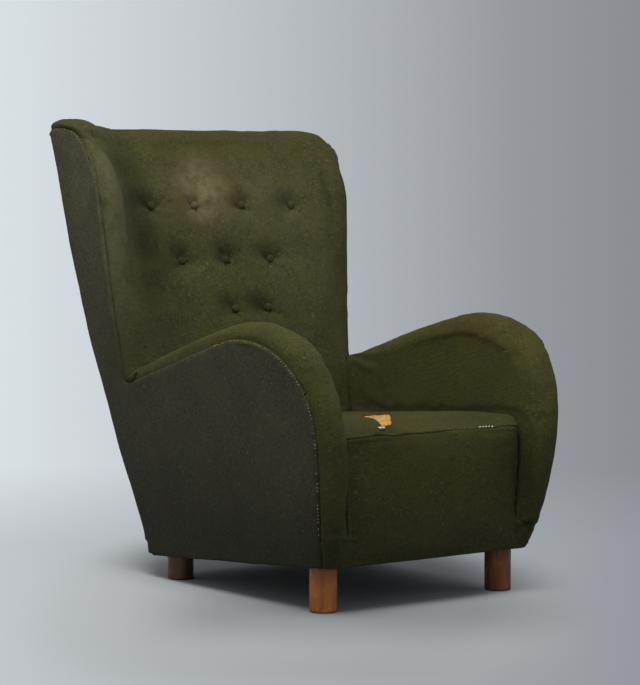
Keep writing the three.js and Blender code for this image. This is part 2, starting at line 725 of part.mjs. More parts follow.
const both = (make, grow) => sides.map(([, side]) => make(side, grow));
const postSpace = both(backPost, gap);
const behindPosts = acrossBack([0, railTop], (z) => rearAt(z) - postInset, () => wingTop, () => wingTop);
const lowRail = crossRail(lowRailFoot, lowRailHeight);
const crest = crossRail(crestTop - crestHeight, crestHeight);

add("front_seat_rail", underCovers(sideBlock(1, -railHalf, railHalf, -railFront, frontRailRear,
  railFootZ, railTop)), beechRaw);
add("rear_seat_rail", sideBlock(1, gap - innerRail, innerRail - gap, rearRailFront, railRear,
  railFootZ, railTop), beechRaw);
add("lower_back_rail", without(lowRail, postSpace), beechRaw);
add("crest_rail", without(crest, postSpace), beechRaw);

for (const [name, side] of sides) {
  add("side_seat_rail_" + name, underCovers(sideBlock(side, innerRail, railHalf,
    frontRailRear + gap, railRear, railFootZ, railTop)).subtract(backPost(side, gap)).subtract(behindPosts),
    beechRaw);
  for (const [place, end] of [["front", -1], ["rear", 1]]) {
    add("corner_block_" + place + "_" + name, cornerBlock(side, end), beechRaw);
    add("leg_" + place + "_" + name, legForm(side, end), beechRed);
  }
  add("arm_post_" + name, underCovers(armPost(side)), beechRaw);
  add("arm_rail_" + name, without(underCovers(armRail(side)), [armPost(side, gap), backPost(side, gap)]),
    beechRaw);
  add("back_post_" + name, underCovers(backPost(side)), beechRaw);
  add("wing_rail_" + name, without(underCovers(wingRail(side)), [armRail(side, gap), backPost(side, gap)]),
    beechRaw);
}

// Webbing under the seat, woven over and under, and the springs on its crossings
const springPlaces = [-1, 0, 1].map((i) => i * springSpacing);
const springRuns = [-1, 0, 1].map((i) => springMiddle + i * springRunSpacing);
const strapMiddle = railFootZ - gap - strapWave - strapThick / 2;

function strap(from, to, at, along, turn) {
  const pitch = along ? springRunSpacing : springSpacing;
  const middle = along ? springMiddle : 0;
  const edge = (across, rise) => steps(from, to, strapSteps).map((run) => {
    const wave = strapWave * turn * Math.cos(Math.PI * (run - middle) / pitch);
    const [x, y] = along ? [at + across, run] : [run, at + across];
    return vector(x, y, strapMiddle + wave + rise - hemFall(y));
  });
  const layer = (rise) => [edge(-strapWidth / 2, rise), edge(strapWidth / 2, rise)];
  return sheetSolid(layer(strapThick / 2), layer(-strapThick / 2));
}

springPlaces.forEach((x, i) => {
  const turn = i % 2 === 0 ? 1 : -1;
  add("seat_strap_lengthwise_" + (i + 1),
    strap(frontRailRear - strapEnd, rearRailFront + strapEnd, x, true, turn), jute);
});
springRuns.forEach((y, i) => {
  const turn = i % 2 === 0 ? -1 : 1;
  add("seat_strap_crosswise_" + (i + 1),
    strap(-innerRail - strapEnd, innerRail + strapEnd, y, false, turn), jute);
});

const clothHalf = innerRail - gap;
const clothFrom = frontRailRear + gap;
const clothTo = rearRailFront - gap;

// The spring cloth's upper side, before the fall to the rear
function springClothAt(x, y) {
  const across = Math.min(Math.abs(x) / clothHalf, 1);
  const along = Math.min(Math.abs(2 * y - clothFrom - clothTo) / (clothTo - clothFrom), 1);
  const dome = (1 - across ** springClothPower) * (1 - along ** springClothPower);
  return railTop - springClothSink + springClothRise * dome;
}

function springCloth(top, under, grow = 0) {
  const edge = (share) => Math.sign(share) * Math.sqrt(Math.abs(share));
  const layer = (heightAt) => steps(-1, 1, springClothSteps).map((v) =>
    steps(1, -1, springClothSteps).map((u) => {
      const x = (clothHalf + grow) * edge(u);
      const y = lerp(clothFrom - grow, clothTo + grow, (1 + edge(v)) / 2);
      return vector(x, y, heightAt(x, y) - hemFall(y));
    }));
  return sheetSolid(layer(top), layer(under));
}

function spring(x, y) {
  const foot = railFootZ + wireRadius;
  const reachX = Math.abs(x) + springEndRadius;
  const middleY = (clothFrom + clothTo) / 2;
  const reachY = middleY + Math.abs(y - middleY) + springEndRadius;
  const top = springClothAt(reachX, reachY) - springClothThick - springSlack - wireRadius;
  const count = Math.round(springTurns * springSteps);
  const at = (share) => {
    const turn = 2 * Math.PI * springTurns * share;
    const waist = (2 * share - 1) ** 2;
    const radius = lerp(springWaistRadius, springEndRadius, waist);
    const rise = clamp((share - springFlatShare) / (1 - 2 * springFlatShare), 0, 1);
    return vector(x + radius * Math.cos(turn), y + radius * Math.sin(turn), lerp(foot, top, rise));
  };
  const rings = steps(0, 1, count).map((share) => {
    const middle = at(share);
    const along = at(share + 1 / count).sub(at(share - 1 / count)).normalize();
    const out = middle.clone().setX(middle.x - x).setY(middle.y - y).setZ(0).normalize();
    const up = along.clone().cross(out).normalize();
    middle.z -= hemFall(middle.y);
    return steps(0, 1, wireSides).slice(0, -1).map((part) => middle.clone()
      .addScaledVector(out, wireRadius * Math.cos(2 * Math.PI * part))
      .addScaledVector(up, wireRadius * Math.sin(2 * Math.PI * part)));
  });
  return ringSolid(rings);
}

springRuns.forEach((y, row) => springPlaces.forEach((x, column) => {
  add("seat_spring_" + (row * springPlaces.length + column + 1), spring(x, y), springSteel);
}));
add("spring_cloth", springCloth(springClothAt, (x, y) => springClothAt(x, y) - springClothThick), hessian);

// Dust cover under the seat, cut round the legs
const dustTop = strapMiddle - strapWave - strapThick / 2 - gap;
const dustEdge = 2 * wireRadius;
const legHoles = sides.flatMap(([, side]) => [-1, 1].map((end) => manifoldOf(
  new THREE.CylinderGeometry(legRadius + wireRadius, legRadius + wireRadius, wingTop, legSides)
    .rotateX(quarter).translate(side * legSide, end * legRun, 0))));
add("dust_cover", without(sideBlock(1, dustEdge - railHalf, railHalf - dustEdge,
  dustEdge - railFront, railRear - dustEdge, dustTop - dustThick, dustTop), legHoles), blackCloth);

// Arms: padding and cover in one piece over the frame
const belowRails = sideBlock(1, -wingTop, wingTop, -railFront - gap, wingTop, -frontHem, railTop + gap);
const lowFront = (grow) => block(
  vector(-wingTop, -wingTop, -frontHem), vector(wingTop, wingTop, cornerPanelTop + grow), true);
const backSpace = backForm(gap);
const springSpace = springCloth((x, y) => springClothAt(x, y) + gap, () => frontHem, gap);

for (const [name, side] of sides) {
  const cutters = [
    backSpace, belowRails, lowFront(gap), armPost(side, gap), armRail(side, gap), backPost(side, gap),
    wingRail(side, gap), springSpace,
  ];
  add("arm_pad_" + name, without(underCovers(armForm(side)), cutters), clothOlive);
}

// The front border between the arm rolls, with the low corners under them in the same piece
function borderBlock() {
  const half = armInnerTop + borderBelly;
  const level = (z) => steps(-1, 1, borderColumns).map((u) => {
    const share = (z - frontHem) / (seatSeam - frontHem);
    const swell = borderBelly * (1 - u ** 4) * (1 - (2 * share - 1) ** 4);
    return vector(half * u, -seatFront - swell, z);
  });
  const levels = steps(frontHem, seatSeam - gap, borderLevels).map(level);
  const rear = levels.map((line) => line.map((p) => vector(p.x, overrun - railFront, p.z)));
  return sheetSolid(levels, rear);
}

const behindBorder = block(vector(-railHalf - gap, -railFront - gap, -frontHem),
  vector(railHalf + gap, wingTop, wingTop), true);
const cornerReach = block(vector(-wingTop, -wingTop, -frontHem),
  vector(wingTop, frontRailRear, cornerPanelTop), true);
const lowCorners = sides.map(([, side]) => armForm(side).intersect(cornerReach));
const armUpper = sides.map(([, side]) => armForm(side, gap).subtract(lowFront(0)));
const wholeBorder = lowCorners.reduce((whole, corner) => whole.add(corner), borderBlock());
add("front_border", underCovers(without(wholeBorder, [behindBorder, ...armUpper])), clothOlive);

// Seat: crowned, drawn in at the top edge, resting on the spring cloth and the rails
function seatForm() {
  const half = armInnerTop + seatCornerRadius;
  const ring = (z, inset, rise) => {
    const [front, rear] = [inset - seatFront, seatRear - inset / 2];
    const reach = half - inset;
    const round = Math.max(seatCornerRadius - inset / 2, seatEdge / 2);
    const points = [];
    const corners = [
      [reach, front, -quarter], [reach, rear, 0], [-reach, rear, quarter], [-reach, front, Math.PI],
    ];
    corners.forEach(([x, y, from], i) => {
      const [cx, cy] = [x - Math.sign(x) * round, y + (y === front ? round : -round)];
      for (const turn of steps(from, from + quarter, seatCornerSteps)) {
        points.push([cx + round * Math.cos(turn), cy + round * Math.sin(turn)]);
      }
      const [nx, ny] = corners[(i + 1) % corners.length];
      const next = [nx - Math.sign(nx) * round, ny + (ny === front ? round : -round)];
      const end = points[points.length - 1];
      const to = [i % 2 === 0 ? end[0] : next[0], i % 2 === 0 ? next[1] : end[1]];
      for (const share of steps(0, 1, seatSideSteps).slice(1, -1)) {
        points.push([lerp(end[0], to[0], share), lerp(end[1], to[1], share)]);
      }
    });
    return points.map(([px, py]) => vector(px, py, z + rise - hemFall(py)));
  };
  const lowest = railTop + gap;
  const full = seatSeam + hemFall(-seatFront);
  const crown = seatEdgeShares.map(([inset, rise]) => ring(full, inset * seatEdge, rise * seatCrown));
  return ringSolid([ring(lowest, 0, 0), ring((lowest + full) / 2, 0, 0), ...crown]);
}

const borderSpace = block(vector(-wingTop, -wingTop, -frontHem),
  vector(wingTop, -railFront, seatSeam), true);
const seatCutters = [...both(armForm, gap), backSpace, borderSpace, springSpace];
add("seat_pad", without(seatForm(), seatCutters), clothOlive);

// The back: padding and cover in one piece, with the wings and the sewn tufts
const backStrapHeights = [-1, 0, 1].map((i) => backStrapMiddle + i * backStrapSpacing);

function backStrap(middle, grow = 0) {
  const levels = [middle - strapWidth / 2 - grow, middle + strapWidth / 2 + grow];
  const rearOf = (z) => postFrontAt(z) - gap + grow;
  return acrossBack(levels, (z) => rearOf(z) - strapThick - 2 * grow, rearOf,
    (z) => postHalf(z) + backStrapLie + grow);
}

function webHollow() {
  const bends = postLevels.filter((z) => z > padFoot && z < webHollowTop);
  const levels = [padFoot - overrun, ...bends, webHollowTop];
  return acrossBack(levels, (z) => postFrontAt(z) - strapThick - 2 * gap,
    (z) => rearAt(z) + overrun, (z) => postHalf(z) - gap);
}

// The front surface of the back at a place seen from the front
function backSurface(x, z) {
  const seam = wingSeamAt(z);
  const last = rollEnd(seam, frontAt(z));
  const startX = sideAt(seam, z) - wingRoll + wingRoll * Math.cos(last);
  const bow = (1 - (Math.abs(x) / startX) ** hollowPower) ** (1 / hollowPower);
  return vector(x, lerp(seam - wingRoll * Math.sin(last), frontAt(z), bow), z);
}

function backNormal(x, z) {
  const span = buttonRadius;
  const across = backSurface(x + span, z).sub(backSurface(x - span, z));
  const up = backSurface(x, z + span).sub(backSurface(x, z - span));
  return across.cross(up).normalize();
}

// A turned piece set on the back's surface, its axis square to the surface
function onBack(profile, count, x, z) {
  const lathe = new THREE.LatheGeometry(profile.map(([r, h]) => new THREE.Vector2(r, h)), count);
  const turn = new THREE.Quaternion().setFromUnitVectors(vector(0, 1, 0), backNormal(x, z));
  return manifoldOf(lathe.applyQuaternion(turn).translate(...backSurface(x, z)));
}

const buttonFoot = gap - tuftDepth;
const tuftProfile = tuftShares.map(([r, h]) => [r * tuftRadius, h * tuftDepth]);
const buttonProfile = buttonShares.map(([r, h]) => [r * buttonRadius, buttonFoot + h * buttonThick]);
const buttonPlaces = [[topRow, topRowShares], [middleRow, middleRowShares], [lowRow, lowRowShares]]
  .flatMap(([height, shares]) => shares.map((share) => [buttonReach * share, height]));
const tufts = buttonPlaces.map(([x, z]) => onBack(tuftProfile, tuftSides, x, z));

add("back_pad", without(underCovers(backForm()), [
  ...postSpace, ...both(armRail, gap), ...both(wingRail, gap),
  crossRail(crestTop - crestHeight, crestHeight, gap), crossRail(lowRailFoot, lowRailHeight, gap),
  webHollow(), ...backStrapHeights.map((z) => backStrap(z, gap)), ...tufts,
]), clothOlive);
backStrapHeights.forEach((z, i) => add("back_strap_" + (i + 1), without(backStrap(z), postSpace), jute));
buttonPlaces.forEach(([x, z], i) =>
  add("back_button_" + (i + 1), onBack(buttonProfile, buttonSides, x, z), clothOlive));

// Outer covers
for (const [name, side] of sides) {
  add("outer_side_panel_" + name, sidePanelCut(side, 0, clothSkin, 0), clothDark);
}
add("outside_back_panel", rearPanelCut(0, clothSkin, 0), clothDark);

// The origin goes to the floor under the middle of the chair's box
const box = new THREE.Box3().setFromObject(root);
const middle = box.getCenter(new THREE.Vector3());
for (const mesh of root.children) mesh.position.set(-middle.x, -middle.y, -box.min.z);

export default root;
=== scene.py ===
"""A wingback armchair with a buttoned back, covered in olive wool, on round beech legs."""

import math

import bmesh
import bpy
from mathutils import Matrix, Vector, noise
from mathutils.bvhtree import BVHTree
from mathutils.kdtree import KDTree


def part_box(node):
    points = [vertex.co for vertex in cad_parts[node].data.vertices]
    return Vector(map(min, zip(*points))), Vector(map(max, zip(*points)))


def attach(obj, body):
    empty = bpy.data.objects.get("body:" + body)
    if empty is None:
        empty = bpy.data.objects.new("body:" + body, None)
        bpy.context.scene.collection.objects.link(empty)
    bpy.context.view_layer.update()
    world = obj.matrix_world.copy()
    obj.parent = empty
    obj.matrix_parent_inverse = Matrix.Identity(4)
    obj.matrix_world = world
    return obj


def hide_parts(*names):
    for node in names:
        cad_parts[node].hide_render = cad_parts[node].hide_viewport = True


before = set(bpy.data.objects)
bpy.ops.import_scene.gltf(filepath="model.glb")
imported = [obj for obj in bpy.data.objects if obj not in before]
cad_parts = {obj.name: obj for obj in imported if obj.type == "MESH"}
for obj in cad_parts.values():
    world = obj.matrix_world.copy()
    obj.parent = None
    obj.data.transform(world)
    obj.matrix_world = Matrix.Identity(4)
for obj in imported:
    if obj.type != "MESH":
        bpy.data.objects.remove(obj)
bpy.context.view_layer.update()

# ---------------------------------------------------------------- sizes, in metres

middle_shift = -0.13943  # from the middle of the four legs to the middle of the part
wool_pitch = 0.0029  # one yarn of the wool weave
pad_voxel = 0.007  # the mesh that a pad's cover is filled with
back_voxel = 0.0072
border_voxel = 0.006
panel_voxel = 0.0056
filling_frames = 20
cloth_stiffness = 15.0
hem_height = 0.0458  # the lower rear edge
hem_round = 0.040
hem_slope = 0.0757
seam_lap = 0.007  # how far a pad reaches under what it is sewn to
short_lap = 0.003
panel_backing = 0.009
under_panel = 0.004  # how far a pad is drawn in where an outside panel covers it
seam_depth = 0.0032
crease_depth = 0.013
arm_crease_x = 0.2549  # where the seat and the front border meet an arm
roll_radius = 0.0066
roll_aside, roll_inward = 0.0065, 0.0060  # where the roll of wadding lies under a seam
thread_radius = 0.0008
stitch_length = 0.0036
stitch_spacing = 0.0078
board_allowance = 0.004  # the covers' padding over a board's edges
grid_margin = 0.0004  # a stretched cloth keeps this far inside its solid's edges
strap_thickness = 0.0018
leg_rows, leg_columns = (-0.4184, 0.1396), (-0.246, 0.246)
leg_hole = 0.0312  # the black cotton is cut this far round a leg's middle
tack_head = (0.0045, 0.0045, 0.0016)
tack_inset = 0.008
floor_size = 60.0
air_strength = 0.38
key_power = 102.0
fill_power = 7.0
near_wing_rise = 0.014


def legs_middle(x, y, z):
    """A point measured from the floor in the middle of the four legs."""
    return Vector((x, y + middle_shift, z))


# ---------------------------------------------------------------- finishes


class Finish:
    """A material built up one node at a time."""

    def __init__(self, name, world=None):
        self.material = world or bpy.data.materials.new(name)
        self.material.use_nodes = True
        self.tree = self.material.node_tree
        self.tree.nodes.clear()
        coords = self.add("TexCoord").outputs
        self.place, self.facing, self.outward = coords["Object"], coords["Normal"], coords["Generated"]

    def add(self, kind, inputs=None, **settings):
        made = self.tree.nodes.new("ShaderNode" + kind)
        for key, value in settings.items():
            setattr(made, key, value)
        for socket, value in (inputs or {}).items():
            if isinstance(value, bpy.types.NodeSocket):
                self.tree.links.new(value, made.inputs[socket])
            else:
                made.inputs[socket].default_value = value
        return made

    def maths(self, operation, *values):
        return self.add("Math", dict(enumerate(values)), operation=operation).outputs[0]

    def times(self, first, second):
        return self.maths("MULTIPLY", first, second)

    def plus(self, first, second):
        return self.maths("ADD", first, second)

    def rest_of(self, share):
        return self.maths("SUBTRACT", 1.0, share)

    def vector_maths(self, operation, *values):
        made = self.add("VectorMath", dict(enumerate(values)), operation=operation)
        return made.outputs["Value" if operation in ("LENGTH", "DISTANCE", "DOT_PRODUCT") else "Vector"]

    def split(self, vector):
        return self.add("SeparateXYZ", {"Vector": vector}).outputs

    def join(self, x=0.0, y=0.0, z=0.0):
        return self.add("CombineXYZ", {"X": x, "Y": y, "Z": z}).outputs[0]

    def cloud(self, scale, detail=3.0, rough=0.55, place=None, stretch=None, warp=0.0):
        """Soft noise between 0 and 1."""
        place = place or self.place
        if stretch:
            place = self.vector_maths("MULTIPLY", place, stretch)
        made = self.add(
            "TexNoise",
            {"Vector": place, "Scale": scale, "Detail": detail, "Roughness": rough, "Distortion": warp},
        )
        return made.outputs["Fac"]

    def between(self, value, low, high, out_low=0.0, out_high=1.0, smooth=True):
        made = self.add(
            "MapRange",
            {"Value": value, "From Min": low, "From Max": high, "To Min": out_low, "To Max": out_high},
            interpolation_type="SMOOTHSTEP" if smooth else "LINEAR",
        )
        return made.outputs[0]

    def near(self, point, reach, stretch=(1, 1, 1)):
        """1 at the point, falling softly to 0 at the reach."""
        moved = self.vector_maths("SUBTRACT", self.place, point)
        moved = self.vector_maths("MULTIPLY", moved, stretch)
        return self.between(self.vector_maths("LENGTH", moved), 0.0, reach, 1.0, 0.0)

    def mix(self, share, first, second, blend="MIX"):
        made = self.add("Mix", data_type="RGBA", blend_type=blend)
        for socket, value in ((made.inputs[0], share), (made.inputs[6], first), (made.inputs[7], second)):
            if isinstance(value, bpy.types.NodeSocket):
                self.tree.links.new(value, socket)
            else:
                socket.default_value = value
        return made.outputs[2]

    def ramp(self, value, *stops):
        made = self.add("ValToRGB", {"Fac": value})
        elements = made.color_ramp.elements
        while len(elements) < len(stops):
            elements.new(0.5)
        for element, (position, colour) in zip(elements, stops):
            element.position = position
            element.color = colour
        return made.outputs["Color"]

    def bump(self, height, distance, strength=1.0, under=None):
        inputs = {"Height": height, "Distance": distance, "Strength": strength}
        if under:
            inputs["Normal"] = under
        return self.add("Bump", inputs).outputs[0]

    def finish(self, colour, rough, normal=None, **sockets):
        inputs = {"Base Color": colour, "Roughness": rough}
        if normal:
            inputs["Normal"] = normal
        inputs.update({key.replace("_", " "): value for key, value in sockets.items()})
        shader = self.add("BsdfPrincipled", inputs)
        output = self.add("OutputMaterial")
        self.tree.links.new(shader.outputs[0], output.inputs["Surface"])
        return self.material


def tone(red, green, blue):
    """A colour as the eye reads it, from 0 to 255, in the light's own scale."""
    shares = [c / 255 for c in (red, green, blue)]
    return tuple(c / 12.92 if c <= 10 / 255 else ((c + 0.055) / 1.055) ** 2.4 for c in shares) + (1.0,)


def weave(cloth, pitch, ragged=0.25):
    """Height of a plain weave and a shade for each yarn, whichever way the cloth faces."""
    facing = [cloth.maths("ABSOLUTE", part) for part in cloth.split(cloth.facing)]
    wobble = cloth.between(cloth.cloud(140.0, 1.0), 0.3, 0.7, -ragged, ragged, smooth=False)
    x, y, z = cloth.split(cloth.vector_maths("MULTIPLY", cloth.place, (1.0 / pitch,) * 3))
    most = cloth.maths("MAXIMUM", facing[1], facing[2])
    sideways = cloth.maths("GREATER_THAN", cloth.plus(facing[0], wobble), most)
    upward = cloth.maths("GREATER_THAN", cloth.plus(facing[2], wobble), facing[1])
    across = cloth.plus(cloth.times(x, cloth.rest_of(sideways)), cloth.times(y, sideways))
    along = cloth.plus(cloth.times(y, upward), cloth.times(z, cloth.rest_of(upward)))
    along = cloth.plus(cloth.times(z, sideways), cloth.times(along, cloth.rest_of(sideways)))
    across = cloth.plus(across, cloth.times(cloth.cloud(11.0, 2.0), 3.0))
    along = cloth.plus(along, cloth.times(cloth.cloud(9.0, 2.0), 3.0))
    over = cloth.add("TexChecker", {"Vector": cloth.join(across, along, 0.5), "Scale": 1.0}).outputs["Fac"]
    warp, weft = (cloth.maths("ABSOLUTE", cloth.maths("SINE", cloth.times(way, math.pi))) for way in (across, along))
    height = cloth.plus(cloth.times(warp, over), cloth.times(weft, cloth.rest_of(over)))
    row, column = cloth.maths("FLOOR", across), cloth.maths("FLOOR", along)
    cell = cloth.join(row, column, 0.0)
    yarn = cloth.add("TexWhiteNoise", {"Vector": cell}, noise_dimensions="3D").outputs["Value"]
    thick_warp = cloth.cloud(1.0, 1.0, place=cloth.join(row, cloth.times(along, 0.20), 3.0))
    thick_weft = cloth.cloud(1.0, 1.0, place=cloth.join(cloth.times(across, 0.20), column, 7.0))
    return height, yarn, cloth.between(cloth.plus(thick_warp, thick_weft), 0.7, 1.3, smooth=False)


def lay_over(cloth, colour, hued_spots, *broken_by):
    """Lays each hue over its spots, broken up by patches and by the yarns."""
    for hue, spots in hued_spots:
        for point, reach, stretch, strength in spots:
            share = cloth.times(cloth.near(point, reach, stretch), strength)
            for pattern in broken_by:
                share = cloth.times(share, pattern)
            colour = cloth.mix(share, colour, hue)
    return colour


def wool(name, dark, middle, light, patchy, tinted_and_lit, worn_and_lit=(), soiled_and_shaded=(), painted_low_shade=0.5, sheen=0.07):
    """Heathered wool: mixed yarns, blotched with age, rubbed pale where hands and heads have been, with painted light
    and shade in its colour: darker towards the bottom, painted shade in hollows and creases, painted light on lit
    fronts and tops.
    """
    cloth = Finish(name)
    height, yarn, slub = weave(cloth, wool_pitch)
    mixed = cloth.plus(cloth.times(yarn, 0.35), cloth.times(slub, 0.65))
    colour = cloth.ramp(mixed, (0.0, dark), (0.38, middle), (0.62, middle), (1.0, light))
    colour = cloth.mix(cloth.between(cloth.cloud(13.0, 5.0, 0.65), 0.42, 0.66, 0.0, 0.6), colour, patchy)
    patches = cloth.between(cloth.cloud(21.0, 4.0, 0.6), 0.3, 0.6, 0.5, 1.0)
    colour = lay_over(cloth, colour, tinted_and_lit, patches, cloth.between(mixed, 0.2, 0.6, 0.4, 1.0))
    fleck = cloth.between(cloth.cloud(150.0, 3.0, 0.7), 0.32, 0.7, 0.86, 1.14, smooth=False)
    broad = cloth.between(cloth.cloud(4.5, 4.0, 0.6), 0.32, 0.7, 0.8, 1.16, smooth=False)
    strokes = cloth.cloud(46.0, 3.0, 0.65, stretch=(1.0, 1.0, 6.0))
    strokes = cloth.between(strokes, 0.34, 0.66, 0.9, 1.1, smooth=False)
    shade = cloth.times(cloth.times(broad, fleck), strokes)
    # painted shade: darker towards the bottom, where less light reaches
    shade = cloth.times(shade, cloth.between(cloth.split(cloth.place)[2], 0.0, 0.5, painted_low_shade, 1.0))
    # darker spots: painted shade in hollows and creases, and grime above the buttons, broken up by a cloud
    soil_and_shade_patches = cloth.between(cloth.cloud(17.0, 4.0), 0.3, 0.6, 0.6, 1.0)
    for point, reach, stretch, strength in soiled_and_shaded:
        share = cloth.times(cloth.near(point, reach, stretch), soil_and_shade_patches)
        shade = cloth.times(shade, cloth.rest_of(cloth.times(share, strength)))
    # painted shade in the hollows of the weave
    shade = cloth.times(shade, cloth.between(height, 0.0, 0.5, 0.66, 1.0))
    colour = cloth.mix(1.0, colour, cloth.join(shade, shade, shade), "MULTIPLY")
    # paler spots: wear where heads have rubbed, and painted light on lit fronts
    patches = cloth.between(cloth.cloud(34.0, 4.0, 0.7), 0.36, 0.6, 0.45, 1.0)
    colour = lay_over(cloth, colour, worn_and_lit, patches, cloth.between(height, 0.2, 0.8, 0.6, 1.0))
    cells = cloth.add("TexVoronoi", {"Vector": cloth.place, "Scale": 62.0, "Randomness": 1.0})
    lint = cloth.between(cells.outputs["Distance"], 0.05, 0.11, 1.0, 0.0)
    chosen = cloth.maths("GREATER_THAN", cloth.split(cells.outputs["Color"])[0], 0.9)
    colour = cloth.mix(cloth.times(cloth.times(lint, chosen), 0.28), colour, tone(140, 136, 100))
    fuzz = cloth.cloud(900.0, 2.0)
    normal = cloth.bump(height, wool_pitch * 0.32, 0.8)
    normal = cloth.bump(fuzz, 0.0006, 0.5, normal)
    normal = cloth.bump(cloth.cloud(190.0, 3.0), 0.0012, 0.5, normal)
    rough = cloth.between(fuzz, 0.3, 0.7, 0.86, 0.98, smooth=False)
    soft = {"Sheen_Weight": sheen, "Sheen_Roughness": 0.45, "Sheen_Tint": (0.60, 0.62, 0.36, 1.0)}
    return cloth.finish(colour, rough, normal, Specular_IOR_Level=0.16, **soft)


def spot(x, y, z, reach, strength, stretch=(1, 1, 1)):
    return (tuple(legs_middle(x, y, z)), reach, stretch, strength)


button_rows = (
    (0.864, (-0.199, -0.070, 0.073, 0.206)),
    (0.733, (-0.125, 0.0, 0.125)),
    (0.618, (-0.044, 0.050)),
)
cover_wool = wool(
    "olive_wool_cover",
    tone(23, 24, 15),
    tone(62, 62, 34),
    tone(96, 94, 53),
    tone(70, 68, 31),
    tinted_and_lit=[
        (
            tone(73, 69, 22),
            [
                spot(-0.345, -0.05, 0.55, 0.34, 0.75, (1.2, 0.8, 1.3)),
                spot(-0.335, -0.36, 0.42, 0.20, 0.4, (1.5, 1, 1)),
                spot(0.30, -0.10, 0.56, 0.42, 0.8, (1.0, 0.8, 1.0)),
                spot(0.0, -0.15, 0.41, 0.46, 0.95, (1, 1, 2.2)),
                spot(0.05, 0.56, 1.03, 0.22, 0.5, (0.6, 1, 1.4)),
            ],
        ),
        (
            tone(66, 69, 52),
            [
                spot(-0.34, 0.42, 0.75, 0.28, 0.75, (2.0, 1, 0.7)),
                spot(-0.26, 0.37, 0.56, 0.16, 0.6, (1.0, 1, 1)),
            ],
        ),
    ],
    worn_and_lit=[
        (
            tone(120, 112, 82),
            [
                spot(-0.035, 0.50, 0.905, 0.105, 0.85, (1, 0.6, 0.8)),
                spot(0.03, 0.49, 0.90, 0.24, 0.25, (0.7, 0.5, 1.5)),
                # painted light on the near wing's lit front
                spot(-0.345, 0.43, 0.86, 0.26, 0.44, (2.4, 1.2, 0.7)),
                # paler on the back's far side
                spot(0.24, 0.44, 0.80, 0.26, 0.16, (1, 0.6, 0.8)),
            ],
        )
    ],
    soiled_and_shaded=[
        # painted shade in the hollow between the near wing and the back
        spot(-0.235, 0.49, 0.90, 0.12, 0.55, (1.3, 0.5, 0.6)),
        spot(-0.235, 0.43, 0.75, 0.13, 0.50, (1.3, 0.5, 0.7)),
        spot(-0.22, 0.36, 0.62, 0.17, 0.28, (1.1, 0.5, 0.7)),
        # darker along the seat's front seam, near side
        spot(-0.16, -0.34, 0.37, 0.12, 0.35, (0.9, 0.8, 2.0)),
        # painted shade in the crease where the front border meets the far arm
        spot(0.252, -0.34, 0.27, 0.045, 0.85, (1.0, 0.6, 0.25)),
        # faintly darker over the seat
        spot(0.10, -0.20, 0.42, 0.30, 0.12),
    ]
    + [
        # a dark smudge above each button: painted shade in its dimple, and grime
        spot(x - 0.010, 0.20 + 0.31 * height, height + 0.018, 0.046, 0.52, (0.9, 0.3, 1.0))
        for height, row in button_rows
        for x in row
    ],
    painted_low_shade=0.54,
)
outer_wool = wool(
    "greyed_wool_outside",
    tone(24, 24, 19),
    tone(62, 61, 47),
    tone(92, 89, 68),
    tone(63, 62, 45),
    # paler and warmer towards both wing tops: painted light from above, and a warmer tint
    tinted_and_lit=[(tone(98, 89, 71), [spot(x, 0.55, 0.90, 0.36, 0.8, (1, 1.2, 0.8)) for x in (-0.36, 0.36)])],
    painted_low_shade=0.36,
    sheen=0.06,
)


def yellow_foam():
    """Old foam, crumbling to a deeper yellow."""
    foam = Finish("old_yellow_foam")
    pores = foam.add("TexVoronoi", {"Vector": foam.place, "Scale": 620.0}).outputs["Distance"]
    stops = (0.25, tone(142, 96, 44)), (0.5, tone(196, 150, 84)), (0.8, tone(214, 178, 118))
    colour = foam.ramp(foam.cloud(60.0, 4.0), *stops)
    normal = foam.bump(pores, 0.0012, 0.9)
    normal = foam.bump(foam.cloud(90.0, 3.0), 0.003, 0.6, normal)
    return foam.finish(colour, foam.between(pores, 0.0, 0.6, 0.82, 0.98), normal, Specular_IOR_Level=0.2)


def beech(name, dark, middle, light, scuffs, low=None):
    """Turned beech: long grain with short dark rays, stain rubbed off where feet have kicked."""
    wood = Finish(name)
    grain = wood.cloud(34.0, 6.0, 0.62, stretch=(1.0, 1.0, 0.09), warp=0.6)
    flecks = wood.cloud(420.0, 2.0, 0.6, stretch=(1.0, 1.0, 0.12))
    colour = wood.ramp(grain, (0.25, dark), (0.5, middle), (0.78, light))
    fleck = wood.between(flecks, 0.56, 0.68, 0.0, 0.45)
    colour = wood.mix(fleck, colour, dark)
    rub = wood.between(wood.cloud(26.0, 5.0, 0.7), 0.52, 0.7, 0.0, 0.7)
    colour = wood.mix(rub, colour, scuffs)
    # painted shade: a dark band at the very foot for its contact shadow, and darker towards the top, where the chair's
    # body shades the leg
    if low:
        height = wood.split(wood.place)[2]
        colour = wood.mix(wood.between(height, 0.0, 0.007, 0.85, 0.0), colour, low)
        colour = wood.mix(wood.between(height, 0.05, 0.11, 0.0, 0.55), colour, dark)
    normal = wood.bump(grain, 0.0006, 0.5)
    normal = wood.bump(flecks, 0.0003, 0.4, normal)
    rough = wood.between(wood.cloud(22.0, 4.0), 0.3, 0.7, 0.38, 0.66, smooth=False)
    return wood.finish(colour, rough, normal, Specular_IOR_Level=0.4, Coat_Weight=0.15, Coat_Roughness=0.35)


